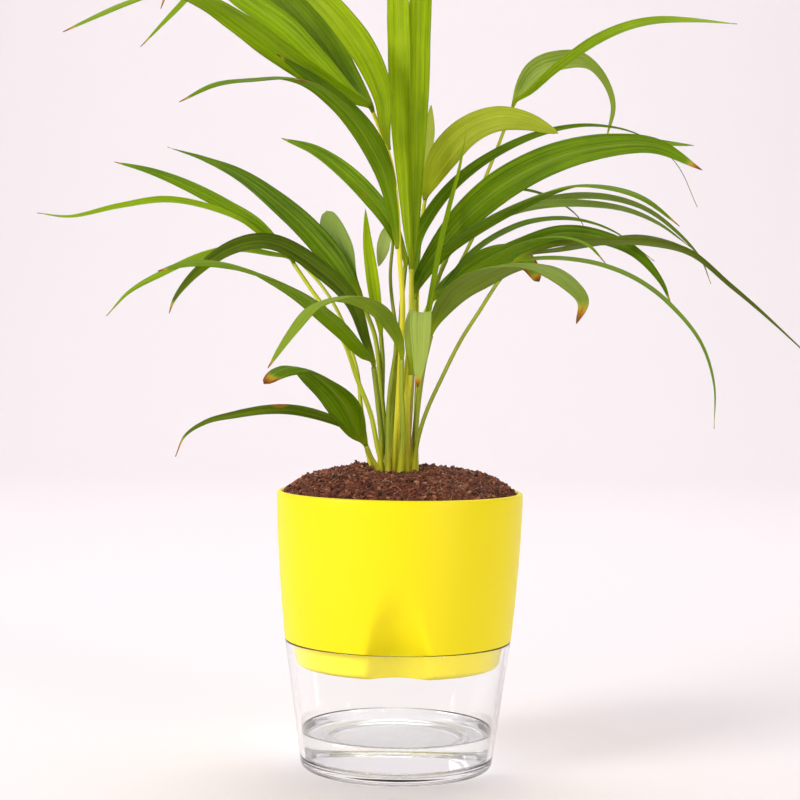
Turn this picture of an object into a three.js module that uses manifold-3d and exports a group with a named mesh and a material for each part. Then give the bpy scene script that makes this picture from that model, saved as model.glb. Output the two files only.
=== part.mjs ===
// Young butterfly palm in a self-watering pot.
//
// A clear cup holds the water and stands on the table. A coloured inner pot rests on the cup's rim
// and hangs a little way into it, with an arched scoop in its front through which the cup is filled.
// The pot is full of coir soil, and a clump of slender stems grows out of it. Each stem ends in a
// leaf of one or more long pointed lobes.
//
// Millimetres, +Z up. The origin is the middle of the cup's flat underside, and -Y is the front.

import * as THREE from "three";
import { mergeVertices } from "three/addons/utils/BufferGeometryUtils.js";
import Module from "manifold-3d";

const wasm = await Module();
wasm.setup();

// ---------------------------------------------------------------- driving dimensions

const clearance = 0.3; // gap between two pieces that touch

// Clear cup
const cupHeight = 60;
const cupRimRadius = 53;
const cupFootRadius = 44.6;
const cupWall = 2.4;
const cupBase = 3.6;
const cupFootFillet = 3;
const cupLip = 0.6; // chamfer on both edges of the rim
const baseRingRadius = 33; // moulded ring on the cup's floor
const baseRingWidth = 1.6;
const baseRingHeight = 1;
const waterLevel = 18.5;

// Inner pot
const potHeight = 69; // from the shoulder that sits on the cup's rim to the top
const potRimRadius = 57.5;
const potWall = 2.6;
const potBulge = 1.6; // 1 is a straight taper, more is rounder
const nestDepth = 12; // how far the pot hangs into the cup
const nestGap = 1; // between the pot and the cup's wall
const nestFillet = 3.5;
const cavityChamfer = 1.5; // where the pot's floor meets its side, inside
const drainRadius = 2.5;
const drainCircle = 22;
const drainCount = 6;

// Filling scoop in the front of the pot: a slanted round channel
const scoopRadius = 16;
const scoopTop = 27; // above the shoulder
const scoopSlope = 0.467; // outward per unit of height

// Soil
const soilEdgeDrop = 1.8; // below the pot's rim at the wall
const soilShoulder = 6;
const soilDome = 7;
const soilDip = { x: 0, y: -8, height: -3.2, spread: 16 }; // hollow in front of the stems
const soilClod = { x: -20, y: 2, height: 3.4, spread: 7 };

// Palm
const plantHeight = 287; // from the soil to the top of the tallest leaf
const plantRise = 6.7; // where the stems leave the soil, above the pot's rim
const rootDepth = 22; // how far each stem stands in the soil
const leafThickness = 1;
const leafCupping = 0.2; // how far a blade's edges are raised, as a share of its half width
const leafStalk = 0.9; // half width of a lobe where it leaves its stem
const leafWidest = 0.42; // share of a lobe's length at which it is widest
const leafFullness = 0.75; // below 1 keeps the outer half wider
const leafPoint = 0.4; // half width of a lobe's very tip
const leafLead = 3; // straight start of a lobe, in line with its stem
const leafBaseLength = 7; // round base that a leaf's lobes spring from
const leafBaseSwell = 1.2; // its radius, as a share of a lobe's half width there
const leafBaseTaper = 0.6; // its end, as a share of its start
const leafBaseInset = 1; // how far inside it a lobe starts

// How finely curved surfaces are divided
const roundSegments = 40;
const filletSteps = 3;
const potSteps = 6;
const scoopSegments = 24;
const drainSegments = 12;
const stemSides = 6;
const stemStep = 11; // length of one stem segment
const leafStep = 13; // length of one leaf segment
const overshoot = 10; // how far a cutting solid reaches past what it cuts

// What follows from them
const shoulderZ = cupHeight + clearance;
const rimZ = shoulderZ + potHeight;
const cupInnerRim = cupRimRadius - cupWall;
const cupTaper = (cupRimRadius - cupFootRadius) / cupHeight;
const nestTopRadius = cupInnerRim - nestGap;
const plantZ = rimZ + plantRise;
const plantModelHeight = 287; // height that the palm's points below are written for
const plantScale = plantHeight / plantModelHeight;

// ---------------------------------------------------------------- solids

// A closed mesh as a solid, for joining and cutting.
function solidOf(geometry) {
  const bare = geometry.clone();
  bare.deleteAttribute("normal");
  bare.deleteAttribute("uv");
  const merged = mergeVertices(bare, 1e-4);
  return new wasm.Manifold(new wasm.Mesh({
    numProp: 3,
    vertProperties: Float32Array.from(merged.attributes.position.array),
    triVerts: Uint32Array.from(merged.index.array),
  }));
}

function geometryOf(solid) {
  const mesh = solid.getMesh();
  const geometry = new THREE.BufferGeometry();
  geometry.setAttribute("position", new THREE.BufferAttribute(mesh.vertProperties, 3));
  geometry.setIndex(new THREE.BufferAttribute(mesh.triVerts, 1));
  geometry.computeVertexNormals();
  return geometry;
}

// A solid turned round Z from [radius, z] points that run up the outside, from axis to axis.
function turned(profile) {
  const points = profile.map(([r, z]) => new THREE.Vector2(r, z));
  const geometry = new THREE.LatheGeometry(points, roundSegments);
  geometry.rotateX(Math.PI / 2);
  return geometry;
}

// A solid through rings of equal point count, closed by a flat cap at each end. The first and the
// second half of a ring are divided alike, so that the two sheets of a thin blade don't cross.
function lofted(rings) {
  const count = rings[0].length;
  const positions = rings.flat().flatMap((p) => [p.x, p.y, p.z]);
  const indices = [];
  for (let ring = 0; ring < rings.length - 1; ring++) {
    for (let i = 0; i < count; i++) {
      const a = ring * count + i;
      const b = ring * count + ((i + 1) % count);
      if (i < count / 2) {
        indices.push(a, b, a + count);
        indices.push(b, b + count, a + count);
      } else {
        indices.push(a, b, b + count);
        indices.push(a, b + count, a + count);
      }
    }
  }
  const last = (rings.length - 1) * count;
  for (let k = 1; k < count - 1; k++) {
    const near = (1 + k) % count;
    const far = (2 + k) % count;
    indices.push(1, far, near);
    indices.push(last + 1, last + near, last + far);
  }
  const geometry = new THREE.BufferGeometry();
  geometry.setAttribute("position", new THREE.Float32BufferAttribute(positions, 3));
  geometry.setIndex(indices);
  return geometry;
}

// Points on a quarter circle of the given radius, from one angle to another, in degrees.
function arc(centreR, centreZ, radius, from, to) {
  const points = [];
  for (let i = 0; i <= filletSteps; i++) {
    const angle = THREE.MathUtils.degToRad(from + ((to - from) * i) / filletSteps);
    points.push([centreR + radius * Math.cos(angle), centreZ + radius * Math.sin(angle)]);
  }
  return points;
}

// ---------------------------------------------------------------- cup and water

function cupOuterRadius(z) {
  return cupFootRadius + cupTaper * z;
}

function cupInnerRadius(z) {
  return cupOuterRadius(z) - cupWall;
}

// Radius of the flat floor inside the cup, where its fillet starts.
const cupFloorRadius = cupInnerRadius(cupBase + cupFootFillet) - cupFootFillet;

function makeCup() {
  const foot = cupOuterRadius(cupFootFillet) - cupFootFillet;
  const lipZ = cupHeight - cupLip;
  const ringTop = cupBase + baseRingHeight;
  return turned([
    [0, 0],
    ...arc(foot, cupFootFillet, cupFootFillet, -90, 0),
    [cupOuterRadius(lipZ), lipZ],
    [cupRimRadius - cupLip, cupHeight],
    [cupInnerRim + cupLip, cupHeight],
    [cupInnerRadius(lipZ), lipZ],
    ...arc(cupFloorRadius, cupBase + cupFootFillet, cupFootFillet, 0, -90),
    [baseRingRadius + baseRingWidth / 2, cupBase],
    [baseRingRadius + baseRingWidth / 4, ringTop],
    [baseRingRadius - baseRingWidth / 4, ringTop],
    [baseRingRadius - baseRingWidth / 2, cupBase],
    [0, cupBase],
  ]);
}

function makeWater() {
  const low = cupBase + clearance;
  const ringTop = low + baseRingHeight;
  const halfRing = baseRingWidth / 2 + clearance;
  return turned([
    [0, low],
    [baseRingRadius - halfRing, low],
    [baseRingRadius - halfRing / 2, ringTop],
    [baseRingRadius + halfRing / 2, ringTop],
    [baseRingRadius + halfRing, low],
    ...arc(cupFloorRadius, low + cupFootFillet, cupFootFillet - clearance, -90, 0),
    [cupInnerRadius(waterLevel) - clearance, waterLevel],
    [0, waterLevel],
  ]);
}

// ---------------------------------------------------------------- inner pot

const shoulderRadius = cupRimRadius;
const nestBottomZ = shoulderZ - nestDepth;
const nestBottomRadius = cupInnerRadius(nestBottomZ) - nestGap;
const floorZ = nestBottomZ + potWall;

// Outside of the pot above its shoulder; up runs from 0 at the shoulder to 1 at the rim.
function potRadius(up) {
  return shoulderRadius + (potRimRadius - shoulderRadius) * (1 - (1 - up) ** potBulge);
}

function potSide(inset) {
  const points = [];
  for (let i = 0; i <= potSteps; i++) {
    points.push([potRadius(i / potSteps) - inset, shoulderZ + (potHeight * i) / potSteps]);
  }
  return points;
}

// The slanted channel, grown on all sides by the given amount.
function scoopSolid(grow) {
  const slant = Math.atan(scoopSlope);
  const length = (2 * (scoopTop + nestDepth + scoopRadius)) / Math.cos(slant);
  const radius = scoopRadius + grow;
  const geometry = new THREE.CylinderGeometry(radius, radius, length, scoopSegments);
  geometry.rotateX(Math.PI / 2 + slant);
  const reach = scoopRadius / Math.cos(slant);
  const topRadius = potRadius(scoopTop / potHeight);
  geometry.translate(0, -(topRadius + reach), shoulderZ + scoopTop);
  return solidOf(geometry);
}

// Outline of the pot's inside, shrunk on all sides by the given amount, up to the rim.
function cavityOutline(shrink) {
  const inset = potWall + shrink;
  const floor = floorZ + shrink;
  const low = nestBottomRadius - inset;
  return [
    [0, floor],
    [low - cavityChamfer, floor],
    [low, floor + cavityChamfer],
    [nestTopRadius - inset, shoulderZ],
    ...potSide(inset),
  ];
}

function makePot() {
  const lip = potWall / 2;
  const outside = solidOf(turned([
    [0, nestBottomZ],
    ...arc(nestBottomRadius - nestFillet, nestBottomZ + nestFillet, nestFillet, -90, 0),
    [nestTopRadius, shoulderZ],
    ...potSide(0).slice(0, -1),
    ...arc(potRimRadius - lip, rimZ - lip, lip, 0, 90),
    [0, rimZ],
  ]));
  const aboveRim = rimZ + overshoot;
  const inside = turned([...cavityOutline(0), [potRimRadius - potWall, aboveRim], [0, aboveRim]]);
  const room = solidOf(inside).subtract(scoopSolid(potWall));
  let pot = outside.subtract(scoopSolid(0)).subtract(room);
  for (let i = 0; i < drainCount; i++) {
    const angle = ((i + 0.5) / drainCount) * 2 * Math.PI;
    const through = 2 * (potWall + overshoot);
    const hole = new THREE.CylinderGeometry(drainRadius, drainRadius, through, drainSegments);
    hole.rotateX(Math.PI / 2);
    hole.translate(drainCircle * Math.sin(angle), drainCircle * Math.cos(angle), nestBottomZ);
    pot = pot.subtract(solidOf(hole));
  }
  return geometryOf(pot);
}

// ---------------------------------------------------------------- palm

// Stems: where each stands in the soil (x, y), its radius there and at its tip, and the points that
// it passes above the soil. All points of the palm are from the middle of the clump, where it
// leaves the soil.
const stems = {
  stem_low_left: { foot: [-9.5, -6], radii: [1.4, 1.1], path: [[-13, -9, 8], [-16, -13, 15]] },
  stem_thin_left: {
    foot: [-13.5, 3], radii: [1.1, 0.7],
    path: [[-16, 6, 13], [-19, 12, 32], [-21, 17, 48], [-25, 22, 61], [-29, 26, 73], [-38, 32, 88],
      [-50, 36, 101], [-59, 38, 109]],
  },
  stem_outer_left: {
    foot: [-8.2, -1.5], radii: [1.2, 0.9],
    path: [[-11, -5, 15], [-14, -8, 29], [-21, -12, 47], [-26, -14, 61], [-35, -16, 77], [-41, -17, 85],
      [-50, -18, 98]],
  },
  stem_dark_left: { foot: [-9.5, 3], radii: [1.4, 1.2], path: [[-9, 2, 17], [-11, 0, 36],
      [-13, -3, 51]] },
  stem_spear: { foot: [-6, 5.5], radii: [1.3, 1], path: [[-8, 8, 17], [-9, 9, 35], [-9, 10, 54],
      [-10, 10, 66]] },
  stem_mid_left: {
    foot: [-6, 1.8], radii: [1.2, 1],
    path: [[-7.5, 5.5, 21], [-10, 7, 45], [-13, 12, 66], [-19, 14, 81]],
  },
  stem_grey: {
    foot: [-5.8, -5], radii: [1.3, 0.7],
    path: [[-6, -5, 27], [-5, -4, 43], [-3, 0, 58], [-3, 6, 69], [-5, 14, 83], [-6, 18, 95],
        [-5, 20, 110]],
  },
  stem_inner_left: {
    foot: [-3.5, 1.5], radii: [1.3, 1],
    path: [[-4, 3, 22], [-3, 5, 45], [-1, 7, 69], [0, 10, 87], [1, 12, 98]],
  },
  stem_frond: {
    foot: [-3, -3], radii: [1.5, 0.9],
    path: [[-2, -4, 22], [-1, -4, 45], [0, -4, 68], [0, -4, 82], [-2, -3, 106], [-3, -2, 124],
      [-6, 0, 145], [-10, 2, 158], [-15, 4, 170]],
  },
  stem_upright: {
    foot: [-0.5, 4.5], radii: [1.5, 1.1],
    path: [[1, 2, 22], [2, 0, 45], [4, 1, 69], [4, 2, 83], [4, 3, 97]],
  },
  stem_front: { foot: [0, -6.5], radii: [1.4, 1.1], path: [[1, -9, 22], [0, -12, 41], [0, -15, 55]] },
  stem_sheath: { foot: [3.2, -2.6], radii: [2.2, 1.6], path: [[3, -5, 22], [3, -7, 36], [4, -10, 48]] },
  stem_right: { foot: [2.6, 2.6], radii: [1.4, 1.2], path: [[4, 4, 26], [5, 6, 50], [6, 8, 73],
      [6, 9, 83]] },
  stem_lime: {
    foot: [6.2, 2], radii: [1.2, 0.9],
    path: [[7, 8.5, 26], [7.5, 15, 50], [7, 19, 74], [7, 22, 95], [8, 24, 114], [10, 26, 131]],
  },
  stem_broad_right: {
    foot: [7.3, -1.6], radii: [1.3, 1.2],
    path: [[7, -4, 22], [8, -8, 36], [10, -13, 52], [13, -18, 66]],
  },
  stem_long_right: {
    foot: [6.5, -5.5], radii: [1, 0.8],
    path: [[8, -11, 18], [12, -16, 32], [18, -22, 46], [26, -29, 63], [35, -35, 78], [43, -40, 91],
      [48, -42, 97]],
  },
  stem_back_right: {
    foot: [5.5, 6], radii: [1.1, 0.9],
    path: [[7, 14, 26], [9, 20, 50], [12, 25, 71], [15, 30, 88], [21, 36, 103]],
  },
  stem_inner_right: {
    foot: [2.2, 6.8], radii: [1.2, 1],
    path: [[3.5, 9, 26], [5, 10.5, 50], [9.5, 8, 66], [13, 3, 80]],
  },
  stem_outer_right: {
    foot: [5, 9.5], radii: [1.1, 0.8],
    path: [[7, 20, 26], [9, 30, 50], [13, 38, 69], [18, 46, 85], [26, 52, 98], [32, 56, 110],
      [38, 60, 123], [43, 62, 136]],
  },
  stem_top_right: {
    foot: [-2.5, 8], radii: [1.2, 0.8],
    path: [[0, 22, 26], [3, 34, 49], [9, 46, 71], [17, 56, 92], [24, 66, 114], [36, 74, 135],
      [44, 80, 154], [50, 84, 170], [55, 86, 184]],
  },
};

// One lobe of a leaf: its greatest width, how its upper face is turned near the stem and at the tip,
// the points that it passes after the stem, and its outline where that isn't the usual one. A turn is
// [round, up] in degrees: [0, 0] faces the front, and [0, 90] faces up.
function lobe(width, nearTurn, tipTurn, path, { widest = leafWidest, fullness = leafFullness } = {}) {
  return { width, nearTurn, tipTurn, path, widest, fullness };
}

// Leaves: the stem that each grows on, how far up it (1 is its tip), the side of the stem that it
// leaves where it doesn't sit on the tip, its green, and its lobes.
const leaves = {
  leaf_low_left: { stem: "stem_low_left", at: 1, tone: "deep", lobes: [
    lobe(17, [0, 10], [0, 45],
      [[-20, -20, 22], [-26, -32, 35], [-36, -45, 46], [-45, -57, 51], [-53, -66, 49], [-59, -72, 44]],
      { fullness: 0.5 }),
    lobe(5, [0, 40], [0, 75],
      [[-25, -22, 24], [-36, -34, 29], [-49, -46, 32], [-60, -56, 32], [-72, -62, 30], [-84, -66, 27],
        [-93, -68, 21], [-97, -68, 12]]),
  ] },
  leaf_outer_left: { stem: "stem_outer_left", at: 1, tone: "mid", lobes: [
    lobe(5, [0, 60], [0, 50],
      [[-61, -18, 102], [-76, -18, 104], [-91, -16, 101], [-110, -12, 93], [-127, -6, 84],
          [-138, -2, 73]]),
  ] },
  leaf_thin_left: { stem: "stem_thin_left", at: 1, tone: "mid", lobes: [
    lobe(7, [0, 20], [0, 30],
      [[-71, 40, 119], [-85, 44, 127], [-106, 50, 138], [-126, 56, 146], [-145, 62, 151]],
      { widest: 0.3 }),
    lobe(4, [0, 50], [0, 40],
      [[-69, 36, 114], [-79, 32, 121], [-96, 26, 127], [-114, 18, 129], [-134, 8, 125], [-155, -4, 119],
        [-169, -10, 120]]),
  ] },
  leaf_dark_left: { stem: "stem_dark_left", at: 1, tone: "deep", lobes: [
    lobe(9, [0, 30], [0, 70],
      [[-17, -6, 64], [-24, -10, 82], [-39, -14, 96], [-56, -22, 106], [-67, -28, 107], [-80, -36, 102],
        [-93, -42, 91], [-101, -46, 80], [-103, -47, 74]]),
    lobe(13, [0, 40], [0, 40],
      [[-17, -12, 57], [-27, -23, 68], [-43, -40, 82], [-58, -52, 90], [-75, -66, 95], [-90, -78, 95],
        [-103, -86, 91]]),
  ] },
  leaf_mid_left: { stem: "stem_mid_left", at: 1, tone: "deep", lobes: [
    lobe(12, [0, 20], [0, 40],
      [[-25, 14, 91], [-35, 20, 104], [-47, 28, 117], [-63, 38, 131], [-81, 50, 144], [-100, 62, 153],
        [-120, 74, 160]], { widest: 0.25, fullness: 1.2 }),
    lobe(13, [0, 0], [0, 0], [[-25, 16, 92], [-29, 24, 104], [-34, 36, 115], [-38, 48, 127]],
      { widest: 0.6, fullness: 0.4 }),
  ] },
  leaf_spear: { stem: "stem_spear", at: 1, tone: "light", lobes: [
    lobe(6, [0, 0], [0, 0], [[-12, 10, 78], [-15, 9, 97], [-17, 7, 111], [-18, 4, 125]]),
  ] },
  leaf_grey: { stem: "stem_grey", at: 1, tone: "light", lobes: [
    lobe(8, [0, 90], [0, 10], [[-4, 26, 116], [-6, 34, 116], [-9, 42, 111], [-12, 46, 100]],
      { widest: 0.6 }),
  ] },
  leaf_inner_left: { stem: "stem_inner_left", at: 1, tone: "mid", lobes: [
    lobe(9, [0, 15], [0, 25], [[-1, 14, 107], [-7, 18, 120], [-16, 24, 132], [-29, 32, 145],
        [-44, 42, 156], [-61, 54, 163]]),
  ] },
  leaf_front_arch: { stem: "stem_front", at: 1, tone: "mid", lobes: [
    lobe(11, [0, 20], [-30, 25],
      [[-2, -20, 65], [-8, -30, 75], [-17, -42, 81], [-28, -58, 82], [-39, -72, 77], [-47, -82, 66],
        [-56, -90, 51]]),
  ] },
  leaf_front_droop: { stem: "stem_sheath", at: 1, tone: "light", lobes: [
    lobe(9.5, [0, 170], [0, 10], [[4, -18, 59], [5, -28, 70], [8, -42, 76], [8, -52, 70],
      [8, -58, 59], [7, -60, 43]], { widest: 0.62 }),
  ] },
  leaf_frond: { stem: "stem_frond", at: 1, tone: "mid", lobes: [
    lobe(14, [0, 10], [0, 60],
      [[-22, -2, 175], [-36, -12, 181], [-52, -24, 190], [-69, -38, 201], [-86, -54, 210],
        [-101, -70, 212], [-116, -84, 204], [-141, -100, 188]]),
    lobe(13, [0, 10], [0, 60],
      [[-25, 10, 179], [-41, 16, 195], [-58, 24, 212], [-76, 34, 226], [-92, 46, 238], [-102, 54, 237],
        [-113, 60, 228], [-123, 64, 219], [-133, 66, 209]]),
    lobe(16, [0, 10], [0, 60],
      [[-29, 22, 191], [-44, 40, 214], [-62, 60, 235], [-82, 80, 253], [-103, 96, 261], [-120, 106, 256],
        [-129, 110, 236]], { widest: 0.3 }),
  ] },
  leaf_frond_upper: { stem: "stem_frond", at: 0.9, tone: "light", side: [1, 0, 0.3], lobes: [
    lobe(14, [0, 10], [0, 50],
      [[-9.5, 0, 164], [-10.5, 1, 176], [-17, 4, 193], [-31, 14, 214], [-45, 24, 229], [-61, 34, 242],
        [-79, 46, 251], [-103, 58, 253]], { widest: 0.36 }),
  ] },
  leaf_frond_side: { stem: "stem_frond", at: 0.8, tone: "deep", side: [-1, -0.6, 0], lobes: [
    lobe(9, [0, 10], [0, 20],
      [[-12, -5, 150], [-19, -9, 161], [-29, -15, 171], [-42, -22, 181], [-58, -31, 191]],
      { widest: 0.3 }),
  ] },
  leaf_frond_low: { stem: "stem_frond", at: 0.66, tone: "deep", side: [-1, -0.6, 0], lobes: [
    lobe(10, [0, 20], [0, 45],
      [[-5.5, -9, 126], [-9, -14, 139], [-15, -21, 151], [-22, -28, 161], [-30, -35, 169],
        [-39, -44, 175], [-51, -56, 177], [-67, -70, 174], [-80, -82, 170], [-94, -92, 161]],
      { widest: 0.4 }),
  ] },
  leaf_upright: { stem: "stem_upright", at: 1, tone: "light", lobes: [
    lobe(11, [-8, 0], [-8, 0],
      [[2.6, 5, 110], [0.2, 8, 137], [-1.6, 11, 160], [-2.6, 15, 186], [-3.4, 19, 210], [-5, 25, 234],
        [-13, 34, 258], [-25, 46, 279]], { widest: 0.6 }),
    lobe(11, [8, 0], [8, 0],
      [[5, 5, 110], [5.4, 8, 137], [5.6, 11, 160], [6, 15, 186], [6, 19, 210], [7, 25, 234],
        [12, 35, 260], [21, 49, 287]], { widest: 0.6 }),
  ] },
  leaf_lime: { stem: "stem_lime", at: 1, tone: "lime", lobes: [
    lobe(15, [0, 0], [0, 15], [[13, 25, 141], [19, 24, 152], [29, 22, 163], [43, 18, 169],
      [57, 14, 168], [72, 8, 162]], { widest: 0.34, fullness: 0.6 }),
    lobe(8, [0, 0], [0, 20], [[9, 32, 144], [10, 44, 157], [12, 56, 169], [13, 66, 182]]),
  ] },
  leaf_folded: { stem: "stem_inner_right", at: 0.82, tone: "light", side: [0.4, -1, 0], lobes: [
    lobe(2.6, [0, 0], [0, 0], [[14, -6, 90], [17, -9, 108], [21, -11, 126], [25, -13, 142],
        [28, -15, 159]]),
  ] },
  leaf_top_right: { stem: "stem_top_right", at: 1, tone: "light", lobes: [
    lobe(7, [0, 30], [0, 60],
      [[64, 86, 192], [76, 84, 203], [91, 80, 214], [105, 74, 221], [122, 66, 225], [143, 56, 224],
        [162, 46, 221]], { widest: 0.5 }),
    lobe(13, [0, 20], [60, 20],
      [[60, 96, 195], [68, 108, 206], [81, 122, 213], [96, 134, 215], [107, 142, 207], [113, 146, 194],
        [110, 144, 176]]),
  ] },
  leaf_right_fan: { stem: "stem_right", at: 1, tone: "deep", lobes: [
    lobe(6, [0, 10], [0, 60],
      [[5, 12, 96], [6, 16, 111], [13, 20, 125], [24, 26, 139], [41, 34, 153], [66, 46, 166],
        [92, 58, 172], [118, 70, 169], [138, 78, 156], [150, 82, 134]],
      { widest: 0.14, fullness: 2.2 }),
    lobe(15, [0, 10], [0, 15],
      [[8, 5, 94], [17, 2, 108], [30, -6, 123], [48, -18, 137], [70, -30, 147], [91, -40, 151],
        [110, -50, 150], [129, -60, 139]]),
    lobe(9, [0, 25], [0, 50],
      [[8, 2, 91], [18, -3, 104], [36, -20, 117], [56, -38, 127], [74, -56, 132], [90, -68, 130],
        [102, -76, 125], [116, -84, 113]]),
    lobe(6, [0, 30], [0, 40],
      [[8, 16, 97], [18, 24, 114], [37, 34, 132], [62, 46, 147], [92, 58, 160], [118, 68, 165],
        [147, 78, 165]], { widest: 0.8 }),
  ] },
  leaf_back_right: { stem: "stem_back_right", at: 1, tone: "mid", lobes: [
    lobe(4, [0, 40], [0, 60],
      [[32, 40, 116], [52, 46, 127], [75, 54, 135], [98, 62, 137], [119, 70, 133], [135, 76, 124],
        [152, 82, 108], [158, 84, 95]]),
    lobe(4.5, [0, 40], [0, 60],
      [[32, 30, 115], [49, 24, 125], [67, 16, 129], [85, 8, 129], [103, 0, 126], [118, -8, 119],
        [132, -14, 108]]),
  ] },
  leaf_inner_right: { stem: "stem_inner_right", at: 1, tone: "deep", lobes: [
    lobe(4, [0, 50], [0, 60],
      [[21, 10, 91], [32, 20, 105], [47, 32, 116], [64, 44, 123], [85, 56, 125], [106, 68, 120],
        [128, 78, 106]]),
    lobe(8, [0, 30], [0, 50],
      [[21, -2, 88], [36, -8, 99], [53, -15, 107], [71, -20, 113], [88, -32, 111], [103, -40, 104],
        [114, -46, 91], [118, -50, 81]]),
    lobe(6, [0, 40], [0, 60],
      [[21, -8, 88], [37, -20, 99], [54, -36, 108], [69, -50, 110], [80, -60, 106], [87, -66, 98]]),
    lobe(12, [0, 40], [0, 10],
      [[23, 20, 91], [40, 34, 103], [53, 46, 106], [62, 54, 103], [68, 58, 94]],
      { widest: 0.6, fullness: 0.4 }),
  ] },
  leaf_long_right: { stem: "stem_long_right", at: 1, tone: "mid", lobes: [
    lobe(5.5, [0, 50], [0, 60],
      [[56, -44, 103], [69, -46, 107], [87, -46, 108], [109, -44, 108], [127, -40, 104], [147, -32, 90],
        [167, -24, 75], [189, -16, 57]]),
    lobe(6, [0, 50], [0, 60],
      [[54, -37, 102], [71, -30, 105], [90, -17, 109], [113, 0, 113], [131, 10, 110], [144, 18, 104]]),
    lobe(2, [0, 50], [0, 60],
      [[56, -52, 100], [68, -62, 100], [84, -74, 97], [99, -86, 90], [111, -94, 80], [123, -102, 64],
        [128, -106, 47], [128, -108, 29]]),
  ] },
  leaf_outer_right: { stem: "stem_outer_right", at: 1, tone: "deep", lobes: [
    lobe(2.4, [0, 50], [0, 60], [[59, 74, 141], [75, 84, 138], [90, 92, 129], [95, 96, 121]]),
    lobe(2.4, [0, 20], [0, 20], [[45, 60, 140], [50, 58, 150]]),
  ] },
  leaf_broad_right: { stem: "stem_broad_right", at: 1, tone: "mid", lobes: [
    lobe(16, [0, 15], [0, 35],
      [[16, -24, 75], [23, -34, 85], [35, -50, 93], [48, -68, 97], [60, -84, 95], [69, -96, 88],
        [74, -104, 80], [71, -107, 71]]),
  ] },
};

// A point of the palm, in the pot's frame.
function palmPoint(point, extra = 0) {
  const [x, y, z] = point;
  return new THREE.Vector3(x * plantScale, y * plantScale, plantZ + z * plantScale + extra);
}

// The direction that a blade's upper face is turned to.
function facing([round, up]) {
  const a = THREE.MathUtils.degToRad(round);
  const e = THREE.MathUtils.degToRad(up);
  return new THREE.Vector3(Math.sin(a) * Math.cos(e), -Math.cos(a) * Math.cos(e), Math.sin(e));
}

// The direction across a blade that runs along one way and is turned to face another.
function acrossOf(along, turn) {
  return new THREE.Vector3().crossVectors(along, facing(turn)).normalize();
}

// The angle from one direction to another about an axis. A blade has two like sides, so it never
// turns by more than a quarter turn.
function quarterTurn(from, to, axis) {
  const angle = Math.atan2(new THREE.Vector3().crossVectors(from, to).dot(axis), from.dot(to));
  return angle - Math.PI * Math.round(angle / Math.PI);
}

// Rings of a section that is carried along a curve without twisting, apart from the turn that its
// end asks for, which is spread evenly. The section gives [across, out] pairs for a share of the
// length.
function ringsAlong(curve, steps, section, startTurn = [0, 0], endTurn = startTurn) {
  const tangents = [];
  const carried = [];
  for (let i = 0; i <= steps; i++) {
    const along = curve.getTangentAt(i / steps);
    const across = i === 0 ? acrossOf(along, startTurn) : carried[i - 1].clone();
    across.addScaledVector(along, -across.dot(along)).normalize();
    tangents.push(along);
    carried.push(across);
  }
  const end = tangents[steps];
  const twist = quarterTurn(carried[steps], acrossOf(end, endTurn), end);
  return tangents.map((along, i) => {
    const t = i / steps;
    const centre = curve.getPointAt(t);
    const across = carried[i].clone().applyAxisAngle(along, twist * t);
    const out = new THREE.Vector3().crossVectors(across, along);
    return section(t).map(([a, o]) => centre.clone().addScaledVector(across, a).addScaledVector(out, o));
  });
}

// A round section.
function roundSection(radius) {
  const ring = [];
  for (let i = 0; i < stemSides; i++) {
    const angle = (-i / stemSides) * 2 * Math.PI;
    ring.push([radius * Math.cos(angle), radius * Math.sin(angle)]);
  }
  return ring;
}

function stemCurve(stem) {
  const [x, y] = stem.foot;
  const points = [palmPoint([x, y, 0], -rootDepth), palmPoint([x, y, 2])];
  points.push(...stem.path.map((p) => palmPoint(p)));
  return new THREE.CatmullRomCurve3(points);
}

// A tapering round stem, or the socket that it stands in when grown by a clearance.
function stemGeometry(stem, grow = 0) {
  const curve = stemCurve(stem);
  const steps = Math.ceil(curve.getLength() / plantScale / stemStep);
  const [low, high] = stem.radii;
  const section = (t) => roundSection((low + (high - low) * t) * plantScale + grow);
  return lofted(ringsAlong(curve, steps, section));
}

// Half the width of a blade, from its stalk to its tip.
function bladeHalfWidth(t, { width, widest, fullness }, stalk) {
  const rise = Math.sin((Math.PI / 2) * Math.min(1, t / widest));
  const past = Math.max(0, t - widest) / (1 - widest);
  const fall = Math.cos((Math.PI / 2) * past) ** fullness;
  return Math.max(leafPoint, (stalk + (width / 2 - stalk) * rise) * fall);
}

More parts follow.
